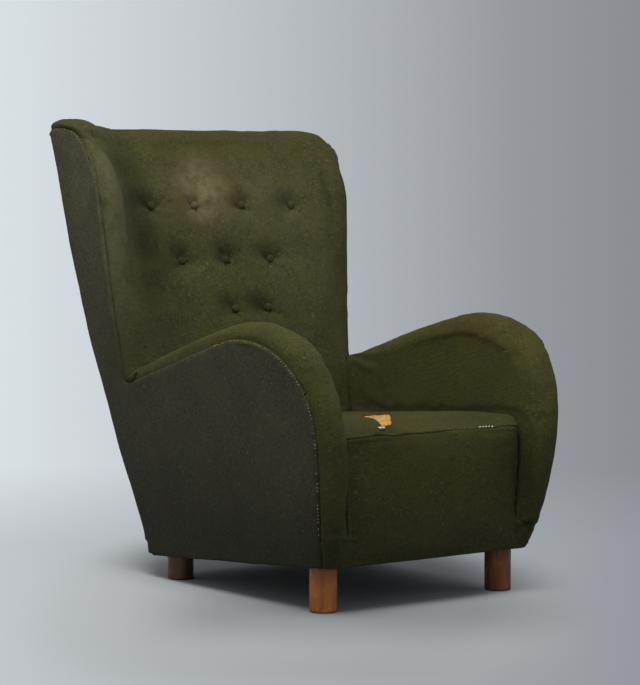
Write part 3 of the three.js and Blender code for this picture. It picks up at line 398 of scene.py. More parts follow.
def flat_weave(name, dark, light, pitch, rough=0.92):
    """Jute, hessian or cotton: one coarse plain weave."""
    cloth = Finish(name)
    height, yarn, slub = weave(cloth, pitch, ragged=0.1)
    colour = cloth.ramp(cloth.plus(cloth.times(yarn, 0.45), cloth.times(slub, 0.55)), (0.1, dark), (0.9, light))
    shade = cloth.between(cloth.cloud(12.0, 4.0), 0.3, 0.7, 0.75, 1.12, smooth=False)
    # painted shade in the hollows of the weave
    shade = cloth.times(shade, cloth.between(height, 0.0, 0.5, 0.5, 1.0))
    colour = cloth.mix(1.0, colour, cloth.join(shade, shade, shade), "MULTIPLY")
    normal = cloth.bump(height, pitch * 0.4, 0.9)
    return cloth.finish(colour, cloth.between(yarn, 0, 1, rough - 0.05, rough), normal, Specular_IOR_Level=0.15)


def wire():
    steel = Finish("dull_spring_wire")
    rust = steel.between(steel.cloud(55.0, 5.0, 0.7), 0.5, 0.68)
    colour = steel.mix(rust, tone(118, 114, 108), tone(92, 58, 38))
    rough = steel.between(rust, 0, 1, 0.38, 0.8)
    return steel.finish(colour, rough, steel.bump(steel.cloud(300.0, 3.0), 0.0003, 0.5), Metallic=0.85)


def thread(name, dark, light):
    yarn = Finish(name)
    twist = yarn.cloud(700.0, 2.0)
    colour = yarn.ramp(twist, (0.2, dark), (0.75, light))
    return yarn.finish(colour, yarn.between(twist, 0.3, 0.7, 0.7, 0.9), yarn.bump(twist, 0.0003, 0.7))


foam_finish = yellow_foam()
# the far front leg and the rear legs are painted darker copies of the near one, for the shade under the chair; the last
# tone is the painted shade at the foot
leg_shades = {
    "leg_front_right": ("stained_beech_leg", (88, 41, 14), (164, 93, 33), (206, 123, 46), (214, 138, 64), (40, 27, 18)),
    "leg_front_left": ("beech_leg_in_painted_shade", (60, 30, 14), (118, 62, 26), (156, 88, 40), (166, 100, 52), (36, 25, 18)),
    "rear": ("beech_leg_in_deep_painted_shade", (36, 20, 12), (76, 41, 21), (104, 60, 31), (112, 68, 38), (30, 22, 17)),
}
leg_finishes = {node: beech(name, *(tone(*shade) for shade in shades)) for node, (name, *shades) in leg_shades.items()}
frame_shades = tone(142, 104, 66), tone(178, 138, 94), tone(205, 168, 122), tone(190, 152, 108)
frame_finish = beech("raw_beech_frame", *frame_shades)
webbing_finish = flat_weave("jute_webbing", tone(112, 90, 56), tone(176, 150, 104), 0.0026)
hessian_finish = flat_weave("hessian_spring_cloth", tone(104, 82, 52), tone(166, 136, 92), 0.0022)
black_finish = flat_weave("black_cotton_under_cover", tone(24, 24, 22), tone(58, 57, 52), 0.0011, 0.95)
wire_finish = wire()
thread_finish = thread("waxed_linen_thread", tone(126, 122, 102), tone(192, 188, 166))
cotton_finish = thread("white_cotton_wadding", tone(200, 196, 174), tone(244, 241, 222))
lining_finish = flat_weave("red_brown_lining", tone(84, 40, 26), tone(140, 76, 48), 0.0012)


# ---------------------------------------------------------------- making and handing in pieces


def put_on(mesh, finish):
    """One finish all over a mesh, with its faces smooth."""
    mesh.materials.clear()
    mesh.materials.append(finish)
    for face in mesh.polygons:
        face.use_smooth = True
        face.material_index = 0


def piece_from(shape, name, finish):
    """Puts a bmesh into the scene as a piece, in place."""
    mesh = bpy.data.meshes.new(name)
    shape.to_mesh(mesh)
    shape.free()
    put_on(mesh, finish)
    made = bpy.data.objects.new(name, mesh)
    bpy.context.scene.collection.objects.link(made)
    return made


def settle(piece):
    """Turns a piece's live modifiers into its own mesh."""
    done = bpy.data.meshes.new_from_object(piece.evaluated_get(bpy.context.evaluated_depsgraph_get()))
    put_on(done, piece.data.materials[0])
    piece.modifiers.clear()
    piece.data = done
    return piece


def hand_in(piece, slot, *nodes):
    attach(piece, "root")
    if nodes:
        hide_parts(*nodes)
    return piece


def copy_of(node):
    """One of the frame's own solids as a bmesh, with its doubles merged."""
    shape = bmesh.new()
    shape.from_mesh(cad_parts[node].data)
    bmesh.ops.remove_doubles(shape, verts=shape.verts, dist=1e-5)
    return shape


def surface_of(*pieces):
    """What can be measured against: the pieces' skins together."""
    joined = bmesh.new()
    for piece in pieces:
        joined.from_mesh(piece.data)
    tree = BVHTree.FromBMesh(joined)
    joined.free()
    return tree


def solids_skin(nodes):
    return surface_of(*(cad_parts[node] for node in nodes))


def with_normals(points):
    """Points and their normals, as they are before any point is moved."""
    return [(point, point.normal.copy()) for point in points]


panels = ("outer_side_panel_left", "outer_side_panel_right", "outside_back_panel")
pads = ("back_pad", "arm_pad_left", "arm_pad_right", "front_border", "seat_pad")


def touching(shape, nodes):
    """The faces of a solid that lie against the solids of these nodes."""
    others = solids_skin(nodes)
    found = set()
    for face in shape.faces:
        _, normal, _, far = others.find_nearest(face.calc_center_median())
        if far < 0.0008 and normal.dot(face.normal) < -0.8:
            found.add(face)
    return found


def faces_out(face):
    """Towards a side or the rear, the way the outside panels do."""
    return abs(face.normal.x) > 0.7 or face.normal.y > 0.7


def lapped_copy(node, lap, backing=None):
    """A copy of a pad's solid that reaches a little way under what it is sewn to, so that no seam gapes.
    Where an outside panel lies over a pad, the pad is drawn in, and a thin panel gets a thicker backing."""
    shape = copy_of(node)
    sewn = touching(shape, [other for other in pads + panels if other != node])
    if backing:
        shifted = {face for face in shape.faces if face.normal.dot(backing) > 0.3}
    else:
        shifted = {face for face in sewn if faces_out(face)}
    sewn -= shifted
    for vertex in shape.verts:
        ways = [face.normal for face in vertex.link_faces if face in shifted]
        if ways and all(face in shifted or face in sewn for face in vertex.link_faces):
            outward = sum(ways, Vector()).normalized()
            vertex.co += backing * panel_backing if backing else outward * -under_panel
    if not sewn:
        return shape
    ways = {}
    in_order = [face for face in shape.faces if face in sewn]
    for face in in_order:
        for vertex in face.verts:
            ways[vertex] = ways.get(vertex, Vector()) + face.normal * face.calc_area()
    old = lookup([vertex.co.copy() for vertex in ways])
    way_out = [way.normalized() for way in ways.values()]
    for vertex in new_points(bmesh.ops.extrude_face_region(shape, geom=in_order)):
        vertex.co += way_out[old.find(vertex.co)[1]] * lap
    return shape


def new_points(grown):
    return [item for item in grown["geom"] if isinstance(item, bmesh.types.BMVert)]


def held_by_seams(node, reach):
    """Whether a place on a pad's cover lies where it is sewn to, or pressed against, another one."""
    others = solids_skin(other for other in pads + panels if other != node)
    return lambda place: others.find_nearest(place, reach)[0] is not None


def outer_seams(node):
    """The lines along which a pad is sewn to the outside panels, each as points in order."""
    shape = copy_of(node)
    sewn = touching(shape, panels)
    hidden = sewn | touching(shape, [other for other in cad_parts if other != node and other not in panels])

    def is_seam(edge):
        faces = edge.link_faces
        shown = any(face not in hidden and face.normal.z > -0.8 for face in faces)
        return shown and len(faces) == 2 and len([face for face in faces if face in sewn]) == 1

    seam = dict.fromkeys(edge for edge in shape.edges if is_seam(edge))
    lines = []
    while seam:
        edge = next(iter(seam))
        del seam[edge]
        line = list(edge.verts)
        for end in (0, -1):
            while onward := [edge for edge in line[end].link_edges if edge in seam]:
                del seam[onward[0]]
                line.insert(0 if end == 0 else len(line), onward[0].other_vert(line[end]))
        lines.append([vertex.co.copy() for vertex in line])
    shape.free()
    return lines


def evenly(line, spacing):
    """The same line with its points a set distance apart."""
    points, left = [line[0]], spacing
    for start, end in zip(line, line[1:]):
        length = (end - start).length
        gone = 0.0
        while length - gone >= left:
            gone += left
            points.append(start.lerp(end, gone / length))
            left = spacing
        left -= length - gone
    return points


def lookup(points):
    tree = KDTree(len(points))
    for number, point in enumerate(points):
        tree.insert(point, number)
    tree.balance()
    return tree


def remesh(piece, voxel):
    cut = piece.modifiers.new("remesh", "REMESH")
    cut.mode = "VOXEL"
    cut.voxel_size = voxel
    return settle(piece)


def group_of(piece, name, weights):
    """A vertex group from pairs of a point's number and its weight."""
    group = piece.vertex_groups.new(name=name)
    for index, weight in weights:
        if weight > 0:
            group.add([index], weight, "REPLACE")
    return name


def relax(piece, share, times, wanted=None):
    """Evens a cover out, or only the part of it that is wanted."""
    soft = piece.modifiers.new("relax", "SMOOTH")
    soft.factor = share
    soft.iterations = times
    if wanted:
        soft.vertex_group = group_of(piece, "loose", [(v.index, wanted(v.co, v.normal)) for v in piece.data.vertices])
    settle(piece)
    piece.vertex_groups.clear()
    return piece


def plump(piece, drawn_in, cap, pressure, resting):
    """Fills a cover: it starts a little small, is blown up against its own cloth, and stops at the cap."""
    points = piece.data.vertices
    pinned = {v.index for v in points if resting(v.co, v.normal)}
    for vertex, normal in with_normals(v for v in points if v.index not in pinned):
        vertex.co -= normal * drawn_in
    start = [v.co.copy() for v in points]
    cloth = piece.modifiers.new("filling", "CLOTH")
    settings = cloth.settings
    settings.quality = 3
    settings.mass = 0.35
    settings.tension_stiffness = settings.compression_stiffness = cloth_stiffness
    settings.shear_stiffness = 5
    settings.bending_stiffness = 0.6
    settings.use_pressure = True
    settings.uniform_pressure_force = pressure
    settings.effector_weights.gravity = 0
    settings.vertex_group_mass = group_of(piece, "pinned", [(index, 1.0) for index in pinned])
    cloth.point_cache.frame_start = 1
    cloth.point_cache.frame_end = filling_frames
    for step in range(1, filling_frames + 1):
        bpy.context.scene.frame_set(step)
    settle(piece)
    bpy.context.scene.frame_set(1)
    for vertex, old in zip(piece.data.vertices, start):
        moved = vertex.co - old
        if moved.length > cap:
            vertex.co = old + moved * (cap / moved.length)
    piece.vertex_groups.clear()
    return piece


def finer(piece):
    """One subdivision, still live."""
    cut = piece.modifiers.new("finer", "SUBSURF")
    cut.levels = cut.render_levels = 1
    return piece


def nudge(piece, offset_at):
    """Moves each point along the surface's own direction by a small amount worked out from its place."""
    for vertex, normal in with_normals(piece.data.vertices):
        vertex.co += normal * offset_at(vertex.co, normal)
    piece.data.update()
    return piece


def reshape(piece, place_for):
    """Moves each point to the place worked out for it."""
    for vertex in piece.data.vertices:
        vertex.co = place_for(vertex.co)
    piece.data.update()
    return piece


def ease(value):
    """0 below 0, 1 above 1, and smooth between."""
    value = min(1.0, max(0.0, value))
    return value * value * (3 - 2 * value)


def fade(far, reach, power=2):
    """1 at no distance, and next to nothing beyond twice the reach."""
    return math.exp(-((far / reach) ** power))


wing_far_tip = legs_middle(0.357, 0.510, 0.995)
wing_near_tip = legs_middle(-0.352, 0.655, 1.025)
near_rear_foot = legs_middle(-0.300, 0.360, 0.30)
front_corner = legs_middle(0.296, -0.338, 0.112)
seat_seam = legs_middle(0, -0.352, 0.379)


def aged_lean(place):
    """How far the chair has crept since it was made: the near wing's tip up, the far one forward, a foot out."""
    high = ease((place.z - 0.86) / 0.18)
    near = ease((-place.x - 0.17) / 0.17) * high
    foot = place - near_rear_foot
    moved = Vector((0.0, 0.0, near_wing_rise * near))
    moved += Vector((0.003, -0.013, 0.009)) * fade((place - wing_far_tip).length, 0.046)
    moved += Vector((-0.005, 0.006, 0.003)) * fade((place - wing_near_tip).length, 0.055)
    moved += Vector((-0.007, 0.006, 0.0)) * fade(foot.xy.length, 0.13) * fade(foot.z, 0.125)
    seam = math.hypot(place.y - seat_seam.y, place.z - seat_seam.z)
    if seam < 0.08 and abs(place.x) < 0.26:
        moved.z += 0.0035 * noise.noise(Vector((place.x / 0.045, 2.5, 0))) * fade(seam, 0.028)
    return moved


def leaned(place):
    place = soft_corner(place)
    return place + aged_lean(place)


board_names = [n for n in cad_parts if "rail" in n or "post" in n]
boards_skin = solids_skin(board_names)


def over_the_boards(piece, least=0.0016):
    """No board's edge pokes through a cover that lies over it."""

    def lift(place, normal):
        near, way, _, _ = boards_skin.find_nearest(place, 0.012)
        if near is None or way.dot(normal) < 0.5:
            return 0.0
        return max(0.0, least - (place - near).dot(way)) / way.dot(normal)

    return nudge(piece, lift)


def tilt(piece, slope):
    """Shears a piece up or down along the chair's depth, so that its sloping hem lies level while it is meshed."""
    return reshape(piece, lambda place: place + Vector((0, 0, slope * place.y)))


def soft_corner(place):
    """The chair's lower rear edge is rounded off."""
    aside = abs(place.x)
    edge = 0.239 - 0.13 * aside * aside - 0.032 * (max(0.0, aside - 0.25) / 0.045) ** 3
    up = place.z - hem_height
    out = edge + 0.2 * up - place.y
    off, rise = hem_round - out, hem_round - up
    if off <= 0 or rise <= 0 or math.hypot(off, rise) <= hem_round:
        return place
    share = hem_round / math.hypot(off, rise)
    out, up = hem_round - off * share, hem_round - rise * share
    return Vector((place.x, edge - out + 0.2 * up, hem_height + up))


def unevenness(place, size, seed):
    """A slow, repeatable swell between -1 and 1."""
    return noise.noise(place / size + Vector((seed, seed * 0.37, -seed)))


# ---------------------------------------------------------------- the buttoned back


def front_of_back(x, z, hide):
    """Where the back's front skin lies at that place, and which way it faces."""
    hit, normal, _, _ = hide.ray_cast(Vector((x, -0.6, z)), Vector((0, 1, 0)))
    return hit, normal


bare_back = solids_skin(["back_pad"])
button_places = [front_of_back(x, z, bare_back)[0] for z, row in button_rows for x in row]


def from_a_button(place):
    return min((place - button).length for button in button_places)


seam_lines = {node: outer_seams(node) for node in ("back_pad", "arm_pad_left", "arm_pad_right")}
all_seams = [line for lines in seam_lines.values() for line in lines]
seam_points = lookup([point + aged_lean(point) for line in all_seams for point in evenly(line, 0.003)])


def seam_dip(place):
    """The wool is pulled down where it runs under the edge of an outside panel."""
    return seam_depth * fade(seam_points.find(place)[2], 0.009)


pulled_aside = (0.014, 0.007, 0.003, 0.015, -0.006, -0.005, 0.0, 0.020, 0.022)  # the old buttons have wandered
button_profile = (  # from the middle of its crown, out and round to the middle of its back
    (0.0, 0.0062),
    (0.0035, 0.0059),
    (0.0070, 0.0048),
    (0.0096, 0.0026),
    (0.0108, 0.0),
    (0.0102, -0.0022),
    (0.0078, -0.0034),
    (0.0, -0.0036),
)


def soft_back():
    back = piece_from(lapped_copy("back_pad", seam_lap), "back_cover", cover_wool)
    remesh(back, back_voxel)
    relax(back, 0.5, 120, lambda place, normal: 1.0 if normal.y < 0 and from_a_button(place) < 0.05 else 0.0)
    relax(back, 0.5, 11)
    held = held_by_seams("back_pad", 0.010)
    plump(back, 0.003, 0.006, 5.0, lambda place, normal: normal.y > 0.35 or normal.z < -0.5 or held(place))
    relax(back, 0.5, 3)
    settle(finer(back))
    reshape(back, leaned)
    skin = surface_of(back)
    pulled = [front_of_back(b.x + aside, b.z, skin)[0] for b, aside in zip(button_places, pulled_aside)]

    def tufts(place):
        """How deep the buttons pull the cloth in, with folds that run out from each of them."""
        depth = 0.0
        for number, button in enumerate(pulled):
            away = place - button
            far = away.length
            if far < 0.12:
                turn = math.atan2(away.z, away.x)
                rays = 1 + 0.35 * math.sin(5 * turn + number * 2.1) + 0.25 * math.sin(3 * turn - number)
                depth += 0.0125 * fade(far, 0.0165, 1.25)
                depth += 0.0055 * rays * fade(far, 0.048, 1.5) * min(1, far / 0.012)
        return depth

    def buttoned(place, normal):
        depth = seam_dip(place)
        if normal.y < 0.2:
            worn_in = ease((-place.x - 0.10) / 0.12) * ease((place.x + 0.325) / 0.07) * ease((place.z - 0.56) / 0.12)
            depth += tufts(place) + 0.010 * worn_in
        swell = 0.0022 * unevenness(place, 0.13, 3.0) + 0.0009 * unevenness(place, 0.042, 8.0)
        full = 0.006 * fade((place - wing_far_tip).length, 0.045)
        full += 0.0065 * ease(normal.z / 0.7) * ease((place.z - 0.93) / 0.06) * (1 - ease((place.x - 0.12) / 0.14))
        return swell - depth + full

    nudge(back, buttoned)
    over_the_boards(back)
    return hand_in(back, "cover", "back_pad")


def covered_buttons(back):
    """Cloth gathered over a small dome, one at each tuft."""
    skin = surface_of(back)
    for number, (old, aside) in enumerate(zip(button_places, pulled_aside)):
        seat, normal = front_of_back(old.x + aside, old.z, skin)
        shape = bmesh.new()
        line = [shape.verts.new((out, 0, height)) for out, height in button_profile]
        edges = [shape.edges.new(pair) for pair in zip(line, line[1:])]
        round_z = {"cent": (0, 0, 0), "axis": (0, 0, 1), "angle": math.tau}
        bmesh.ops.spin(shape, geom=line + edges, **round_z, steps=20, use_merge=True)
        bmesh.ops.remove_doubles(shape, verts=shape.verts, dist=1e-5)
        bmesh.ops.recalc_face_normals(shape, faces=shape.faces)
        for vertex in shape.verts:
            if vertex.co.xy.length > 0.006 and vertex.co.z < 0.004:
                turn = math.atan2(vertex.co.y, vertex.co.x)
                vertex.co.xy *= 1 + 0.03 * math.sin(9 * turn + number)
        aslant = 0.08 * math.sin(number * 2.3), 0.1 * math.cos(number * 1.7)
        facing = Vector((normal.x * 0.5 + aslant[0], -1.0, normal.z * 0.6 + aslant[1])).normalized()
        turned = facing.to_track_quat("Z", "Y").to_matrix().to_4x4()
        bmesh.ops.transform(shape, matrix=Matrix.Translation(seat + facing * 0.0022) @ turned, verts=shape.verts)
        button = piece_from(shape, f"covered_button_{number + 1}", cover_wool)
        hand_in(finer(button), "cover", f"back_button_{number + 1}")


# ---------------------------------------------------------------- arms, border, seat and outside


def hand_in_cover(cover, slot, node, clearance, swell, seed, dress):
    """The last of each cover: the chair's lean, its own slow unevenness, and clear of every board."""
    reshape(cover, leaned)

    def offset(place, normal):
        own = swell * unevenness(place, 0.12, seed) + swell * 0.45 * unevenness(place, 0.04, seed + 5)
        return own + dress(place, normal)

    nudge(cover, offset)
    over_the_boards(cover, clearance)
    return hand_in(cover, slot, node)


def soft_pad(node, name, filled, dress, seed, lap=short_lap, voxel=pad_voxel, evened=6, swell=0.0012):
    """A stuffed cover: meshed evenly, filled and evened out."""
    pad = piece_from(lapped_copy(node, lap), name, cover_wool)
    remesh(pad, voxel)
    relax(pad, 0.5, evened)
    held = held_by_seams(node, 0.009)
    drawn_in, cap, pressure, resting = filled
    plump(pad, drawn_in, cap, pressure, lambda place, normal: resting(place, normal) or held(place))
    relax(pad, 0.5, 2)
    settle(finer(pad))
    return hand_in_cover(pad, "cover", node, 0.0014, swell, seed, dress)


def outside_panel(node, name, lap, inward, seed, swell=0.0012):
    """A thin cloth on its boards: meshed with its hem level, and not filled."""
    panel = piece_from(lapped_copy(node, lap, inward), name, outer_wool)
    tilt(panel, hem_slope)
    remesh(panel, panel_voxel)
    relax(panel, 0.5, 8)
    tilt(panel, -hem_slope)
    reshape(panel, tucked_in)
    return hand_in_cover(panel, "outer_cover", node, 0.0024, swell, seed, lambda place, normal: 0.0)


def from_front_corner(place):
    return (Vector((abs(place.x), place.y, place.z)) - front_corner).length


def tucked_in(place):
    """The outside panels' lower front corners are folded in behind the arms."""
    return place + Vector((0.0, 0.010, 0.004)) * fade(from_front_corner(place), 0.026)


def border_end(place):
    """The deep crease where the front border and the seat meet the arms."""
    return crease_depth * fade(abs(place.x) - arm_crease_x, 0.009) * ease((place.z - 0.13) / 0.05)


def stuffed_arm(place, normal):
    """The arms are fullest along their tops and at their lower front corners, and drawn down at their seams."""
    seam = seam_points.find(place)[2]
    crown = 0.0095 * ease(normal.z / 0.8) * ease((place.z - 0.49) / 0.07) * ease(seam / 0.032)
    return crown + 0.005 * fade(from_front_corner(place), 0.03) - seam_dip(place) - 0.25 * border_end(place)


def seat_pucker(place, normal):
    """The seat's front edge is gathered into small folds above its seam."""
    edge = fade(place.y - seat_seam.y, 0.030) * ease((place.z - 0.378) / 0.010)
    along = place.x + 0.01 * unevenness(place, 0.05, 4.0)
    folds = math.sin(along * 175 + 3 * math.sin(along * 31)) * 0.5 + math.sin(along * 83 + 1.3) * 0.5
    strongest = 0.35 + 0.65 * fade(place.x + 0.12, 0.09)
    return 0.0036 * edge * folds * strongest - 0.0012 * edge - 0.4 * border_end(place)


back = soft_back()
covered_buttons(back)
arms, outsides = {}, {}
for side, sign in (("left", 1), ("right", -1)):
    arms[side] = soft_pad(
        f"arm_pad_{side}",
        f"arm_cover_{side}",
        (0.0025, 0.006, 5.0, lambda place, normal: normal.z < -0.6),
        stuffed_arm,
        11.0 + sign,
        lap=seam_lap,
        evened=9,
        swell=0.0018,
    )
    outsides[side] = outside_panel(
        f"outer_side_panel_{side}", f"outer_side_cover_{side}", short_lap, Vector((-sign, 0, 0)), 31.0 + sign, 0.0014
    )
border = soft_pad(
    "front_border",
    "front_border_cover",
    (0.0035, 0.006, 4.0, lambda place, normal: normal.y > 0.3 or normal.z < -0.5),
    lambda place, normal: -border_end(place),
    21.0,
    voxel=border_voxel,
)
seat = soft_pad(
    "seat_pad",
    "seat_cover",
    (0.0045, 0.008, 4.0, lambda place, normal: normal.z < -0.5),
    seat_pucker,
    27.0,
    swell=0.0024,
)
tear_corners = (
    (-0.120, -0.320),
    (-0.091, -0.319),
    (-0.045, -0.258),
    (0.005, -0.190),
    (-0.028, -0.165),
    (-0.085, -0.200),
    (-0.106, -0.275),
)
tear_outline = [legs_middle(x, y, 0).xy for x, y in tear_corners]


def into_tear(place):
    """How far a place is inside the ragged outline of the tear, seen from above; negative outside it."""
    nearest, inside = 1.0, False
    for start, end in zip(tear_outline, tear_outline[1:] + tear_outline[:1]):
        along = end - start
        share = min(1.0, max(0.0, (place.xy - start).dot(along) / along.length_squared))
        nearest = min(nearest, (place.xy - start - along * share).length)
        if (start.y > place.y) != (end.y > place.y) and place.x < start.x + along.x * (place.y - start.y) / along.y:
            inside = not inside
    ragged = 0.0022 * noise.noise(Vector((place.x, place.y, 0)) * 130)
    ragged += 0.0012 * noise.noise(Vector((place.x, place.y, 3)) * 420)
    return (nearest if inside else -nearest) + ragged


def torn_seat(seat):
    """Opens the seat's threadbare front edge: the cover's lips stand up a little, and yellow foam shows under them."""
    shape = bmesh.new()
    shape.from_mesh(seat.data)
    foam = shape.copy()
    for _ in range(2):
        rim = [e for e in shape.edges if all(v.normal.z > 0.3 and abs(into_tear(v.co)) < 0.007 for v in e.verts)]
        bmesh.ops.subdivide_edges(shape, edges=rim, cuts=1, use_grid_fill=True)
        shape.normal_update()
    for vertex, normal in with_normals(v for v in shape.verts if v.normal.z > 0.3):
        depth = into_tear(vertex.co)
        if depth > -0.014:
            lip = 0.0016 * fade(depth, 0.005) * (1 + 0.6 * noise.noise(vertex.co * 90))
            vertex.co += normal * (lip - 0.010 * ease(depth / 0.0018))
    shape.to_mesh(seat.data)
    shape.free()
    put_on(seat.data, cover_wool)
    unseen = [f for f in foam.faces if f.normal.z < 0.3 or into_tear(f.calc_center_median()) < -0.006]
    bmesh.ops.delete(foam, geom=unseen, context="FACES")
    bmesh.ops.subdivide_edges(foam, edges=foam.edges, cuts=1, use_grid_fill=True)
    for vertex in foam.verts:
        vertex.co.z -= 0.0010 + 0.0014 * noise.noise(vertex.co * 60) + 0.0008 * noise.noise(vertex.co * 240)
    for vertex in new_points(bmesh.ops.extrude_face_region(foam, geom=list(foam.faces))):
        vertex.co.z -= 0.007
    bmesh.ops.recalc_face_normals(foam, faces=foam.faces)
    bare = piece_from(foam, "seat_foam_at_tear", foam_finish)
    hand_in(bare, "cover")


torn_seat(seat)
outside_back = outside_panel("outside_back_panel", "outside_back_cover", 0.004, Vector((0, -1, 0)), 41.0)


# ---------------------------------------------------------------- stitches and loose threads


def thread_bits(name, bits, finish):
    """Short lengths of thread, each with its middle, its way, its length and its thickness."""
    shape = bmesh.new()
    for middle, way, length, thick in bits:
        turned = way.to_track_quat("Z", "Y").to_matrix().to_4x4()
        sized = Matrix.Diagonal((thick, thick, length / 2, 1.0))
        placed = Matrix.Translation(middle) @ turned @ sized
        bmesh.ops.create_icosphere(shape, subdivisions=1, radius=1.0, matrix=placed)
    return hand_in(piece_from(shape, name, finish), "cover")


def slip_stitches(line, skin, chosen, across=0.9, every=stitch_spacing):
    """Stitches along a seam, each lying on the cloth and slanting across it."""
    places = evenly(line, every)
    bits = []
    for number in range(1, len(places) - 1):
        rest, normal, _, _ = skin.find_nearest(places[number] + aged_lean(places[number]))
        strength = chosen(rest)
        if strength <= 0 or noise.noise(rest * 210) < -0.08:
            continue
        along = (places[number + 1] - places[number - 1]).normalized()
        way = (along + normal.cross(along) * (across + 0.3 * math.sin(number * 2.7))).normalized()
        length = stitch_length * strength * (0.85 + 0.7 * noise.noise(rest * 300))
        bits.append((rest + normal * thread_radius * 0.8, way, length, thread_radius))
    return bits


roll_middles = {"arm_": legs_middle(0.0, -0.10, 0.26), "back": legs_middle(0.0, 0.62, 0.60)}


def under_seam(point, along, node):
    """Where the roll's middle lies: in from the outside panel, and into the arm or the back."""
    if abs(point.x) > 0.3:
        inward = Vector((math.copysign(roll_aside, -point.x), 0.0, 0.0))
    else:
        inward = Vector((0.0, -roll_aside, -0.002))
    into = roll_middles[node[:4]] - point
    into.x = 0.0
    inward += into.normalized() * roll_inward
    return point + inward - along * inward.dot(along)


def ring_edges(ring):
    return list(dict.fromkeys(e for point in ring for e in point.link_edges if e.other_vert(point) in ring))


def seam_wadding():
    """A roll of wadding under each outer seam, wrapped in the cover's turned-in edge."""
    for node, lines in seam_lines.items():
        shape = bmesh.new()
        for line in lines:
            route = [point + aged_lean(point) for point in evenly(line, 0.009)]
            if len(route) < 4:
                continue
            rings = []
            for before, point, after in zip(route[:1] + route, route, route[1:] + route[-1:]):
                along = (after - before).normalized()
                turned = along.to_track_quat("Z", "X").to_matrix().to_4x4()
                placed = Matrix.Translation(under_seam(point, along, node)) @ turned
                ring = bmesh.ops.create_circle(shape, cap_ends=False, segments=12, radius=roll_radius, matrix=placed)
                rings.append(ring["verts"])
            for first, second in zip(rings, rings[1:]):
                bmesh.ops.bridge_loops(shape, edges=ring_edges(first) + ring_edges(second))
        bmesh.ops.recalc_face_normals(shape, faces=shape.faces)
        hand_in(piece_from(shape, f"seam_roll_{node}", cover_wool), "cover")


def outer_stitches():
    for side in ("left", "right"):
        skin = surface_of(arms[side], outsides[side])
        crown = legs_middle(0, -0.02, 0).y
        bits = []
        for line in seam_lines[f"arm_pad_{side}"]:
            bits += slip_stitches(line, skin, lambda place: 1.0 if place.y < crown and place.z > 0.17 else 0.0)
        thread_bits(f"arm_seam_stitches_{side}", bits, thread_finish)

    def showing(place):
        return 0.6 if unevenness(place, 0.03, 6.0) > 0.12 and place.z > 0.35 else 0.0

    skin = surface_of(back, *outsides.values(), outside_back)
    bits = []
    for line in seam_lines["back_pad"]:
        bits += slip_stitches(line, skin, showing, every=0.011)
    thread_bits("wing_seam_stitches", bits, thread_finish)


def dropped_on(skin, place):
    """Where a place seen from above lies on the skin, and which way the skin faces there."""
    return skin.ray_cast(Vector((place.x, place.y, 1.0)), Vector((0, 0, -1)))[:2]


def seat_stitches():
    """The seat's front seam, with the loose white threads where it has been mended."""
    skin = surface_of(seat, border)
    front = [legs_middle(x / 1000, -0.352, 0.372 + 0.011 * ease((x + 120) / 300)) for x in range(-200, 236, 4)]
    mended = 0.132
    bits = slip_stitches(front, skin, lambda place: 0.9 if mended - 0.09 < place.x < mended else 0.0, across=0.3)
    thread_bits("seat_seam_stitches", bits, thread_finish)
    bits = []
    for number in range(5):
        place = Vector((mended + 0.009 * number, seat_seam.y, seat_seam.z + 0.003))
        rest, normal, _, _ = skin.find_nearest(place + aged_lean(place))
        way = Vector((1.0, 0.1, 0.22 + 0.2 * math.sin(number * 2.0))).normalized()
        bits.append((rest + normal * 0.0010, way, 0.0064 - 0.0009 * (number % 2), 0.0016))
    thread_bits("loose_white_stitches", bits, cotton_finish)


def tear_threads():
    """A tuft of cotton at the tear's corner, and the lining frayed along its rear lip."""
    middle, normal = dropped_on(surface_of(seat, border), legs_middle(-0.130, -0.332, 0.0))
    bits = []
    for number in range(14):
        upward = 0.5 + 0.5 * math.sin(number * 3.1)
        way = Vector((math.sin(number * 2.4), math.cos(number * 1.7), upward)).normalized()
        bits.append((middle + way * 0.0038 + normal * 0.0020, way, 0.0115, 0.0013))
    thread_bits("cotton_tuft", bits, cotton_finish)
    skin = surface_of(seat)
    bits = []
    for start, end in zip(tear_outline[1:5], tear_outline[2:6]):
        for step in range(int((end - start).length / 0.004)):
            top, _ = dropped_on(skin, start.lerp(end, step * 0.004 / (end - start).length))
            sway = Vector((end.x - start.x, end.y - start.y, 0.006 * math.sin(step * 1.3))).normalized()
            bits.append((top + Vector((0, 0, 0.0002)), sway, 0.0070, 0.0007))
    thread_bits("frayed_lining", bits, lining_finish)


def tucked_pleats():
    """The small fold where the wing's cover is tucked in behind the arm's."""
    for side, sign in (("left", 1), ("right", -1)):
        shape = bmesh.new()
        bmesh.ops.create_uvsphere(shape, u_segments=32, v_segments=20, radius=1.0)
        for vertex in shape.verts:
            x, y, z = vertex.co
            pinch = 1 - 0.45 * ease((z + 0.2) / 1.2)
            arched = 0.0035 * y * y + 0.0012 * math.sin(y * 5)
            vertex.co = Vector((x * 0.008 * pinch, y * 0.021, z * 0.0085 * pinch + arched))
        turned = Matrix.Rotation(-0.42, 4, "X")
        place = legs_middle(sign * 0.3285, 0.352, 0.4705)
        bmesh.ops.transform(shape, matrix=Matrix.Translation(place + aged_lean(place)) @ turned, verts=shape.verts)
        pleat = piece_from(shape, f"tucked_pleat_{side}", cover_wool)
        hand_in(pleat, "cover")


seam_wadding()
outer_stitches()
seat_stitches()
tear_threads()
tucked_pleats()


# ---------------------------------------------------------------- legs


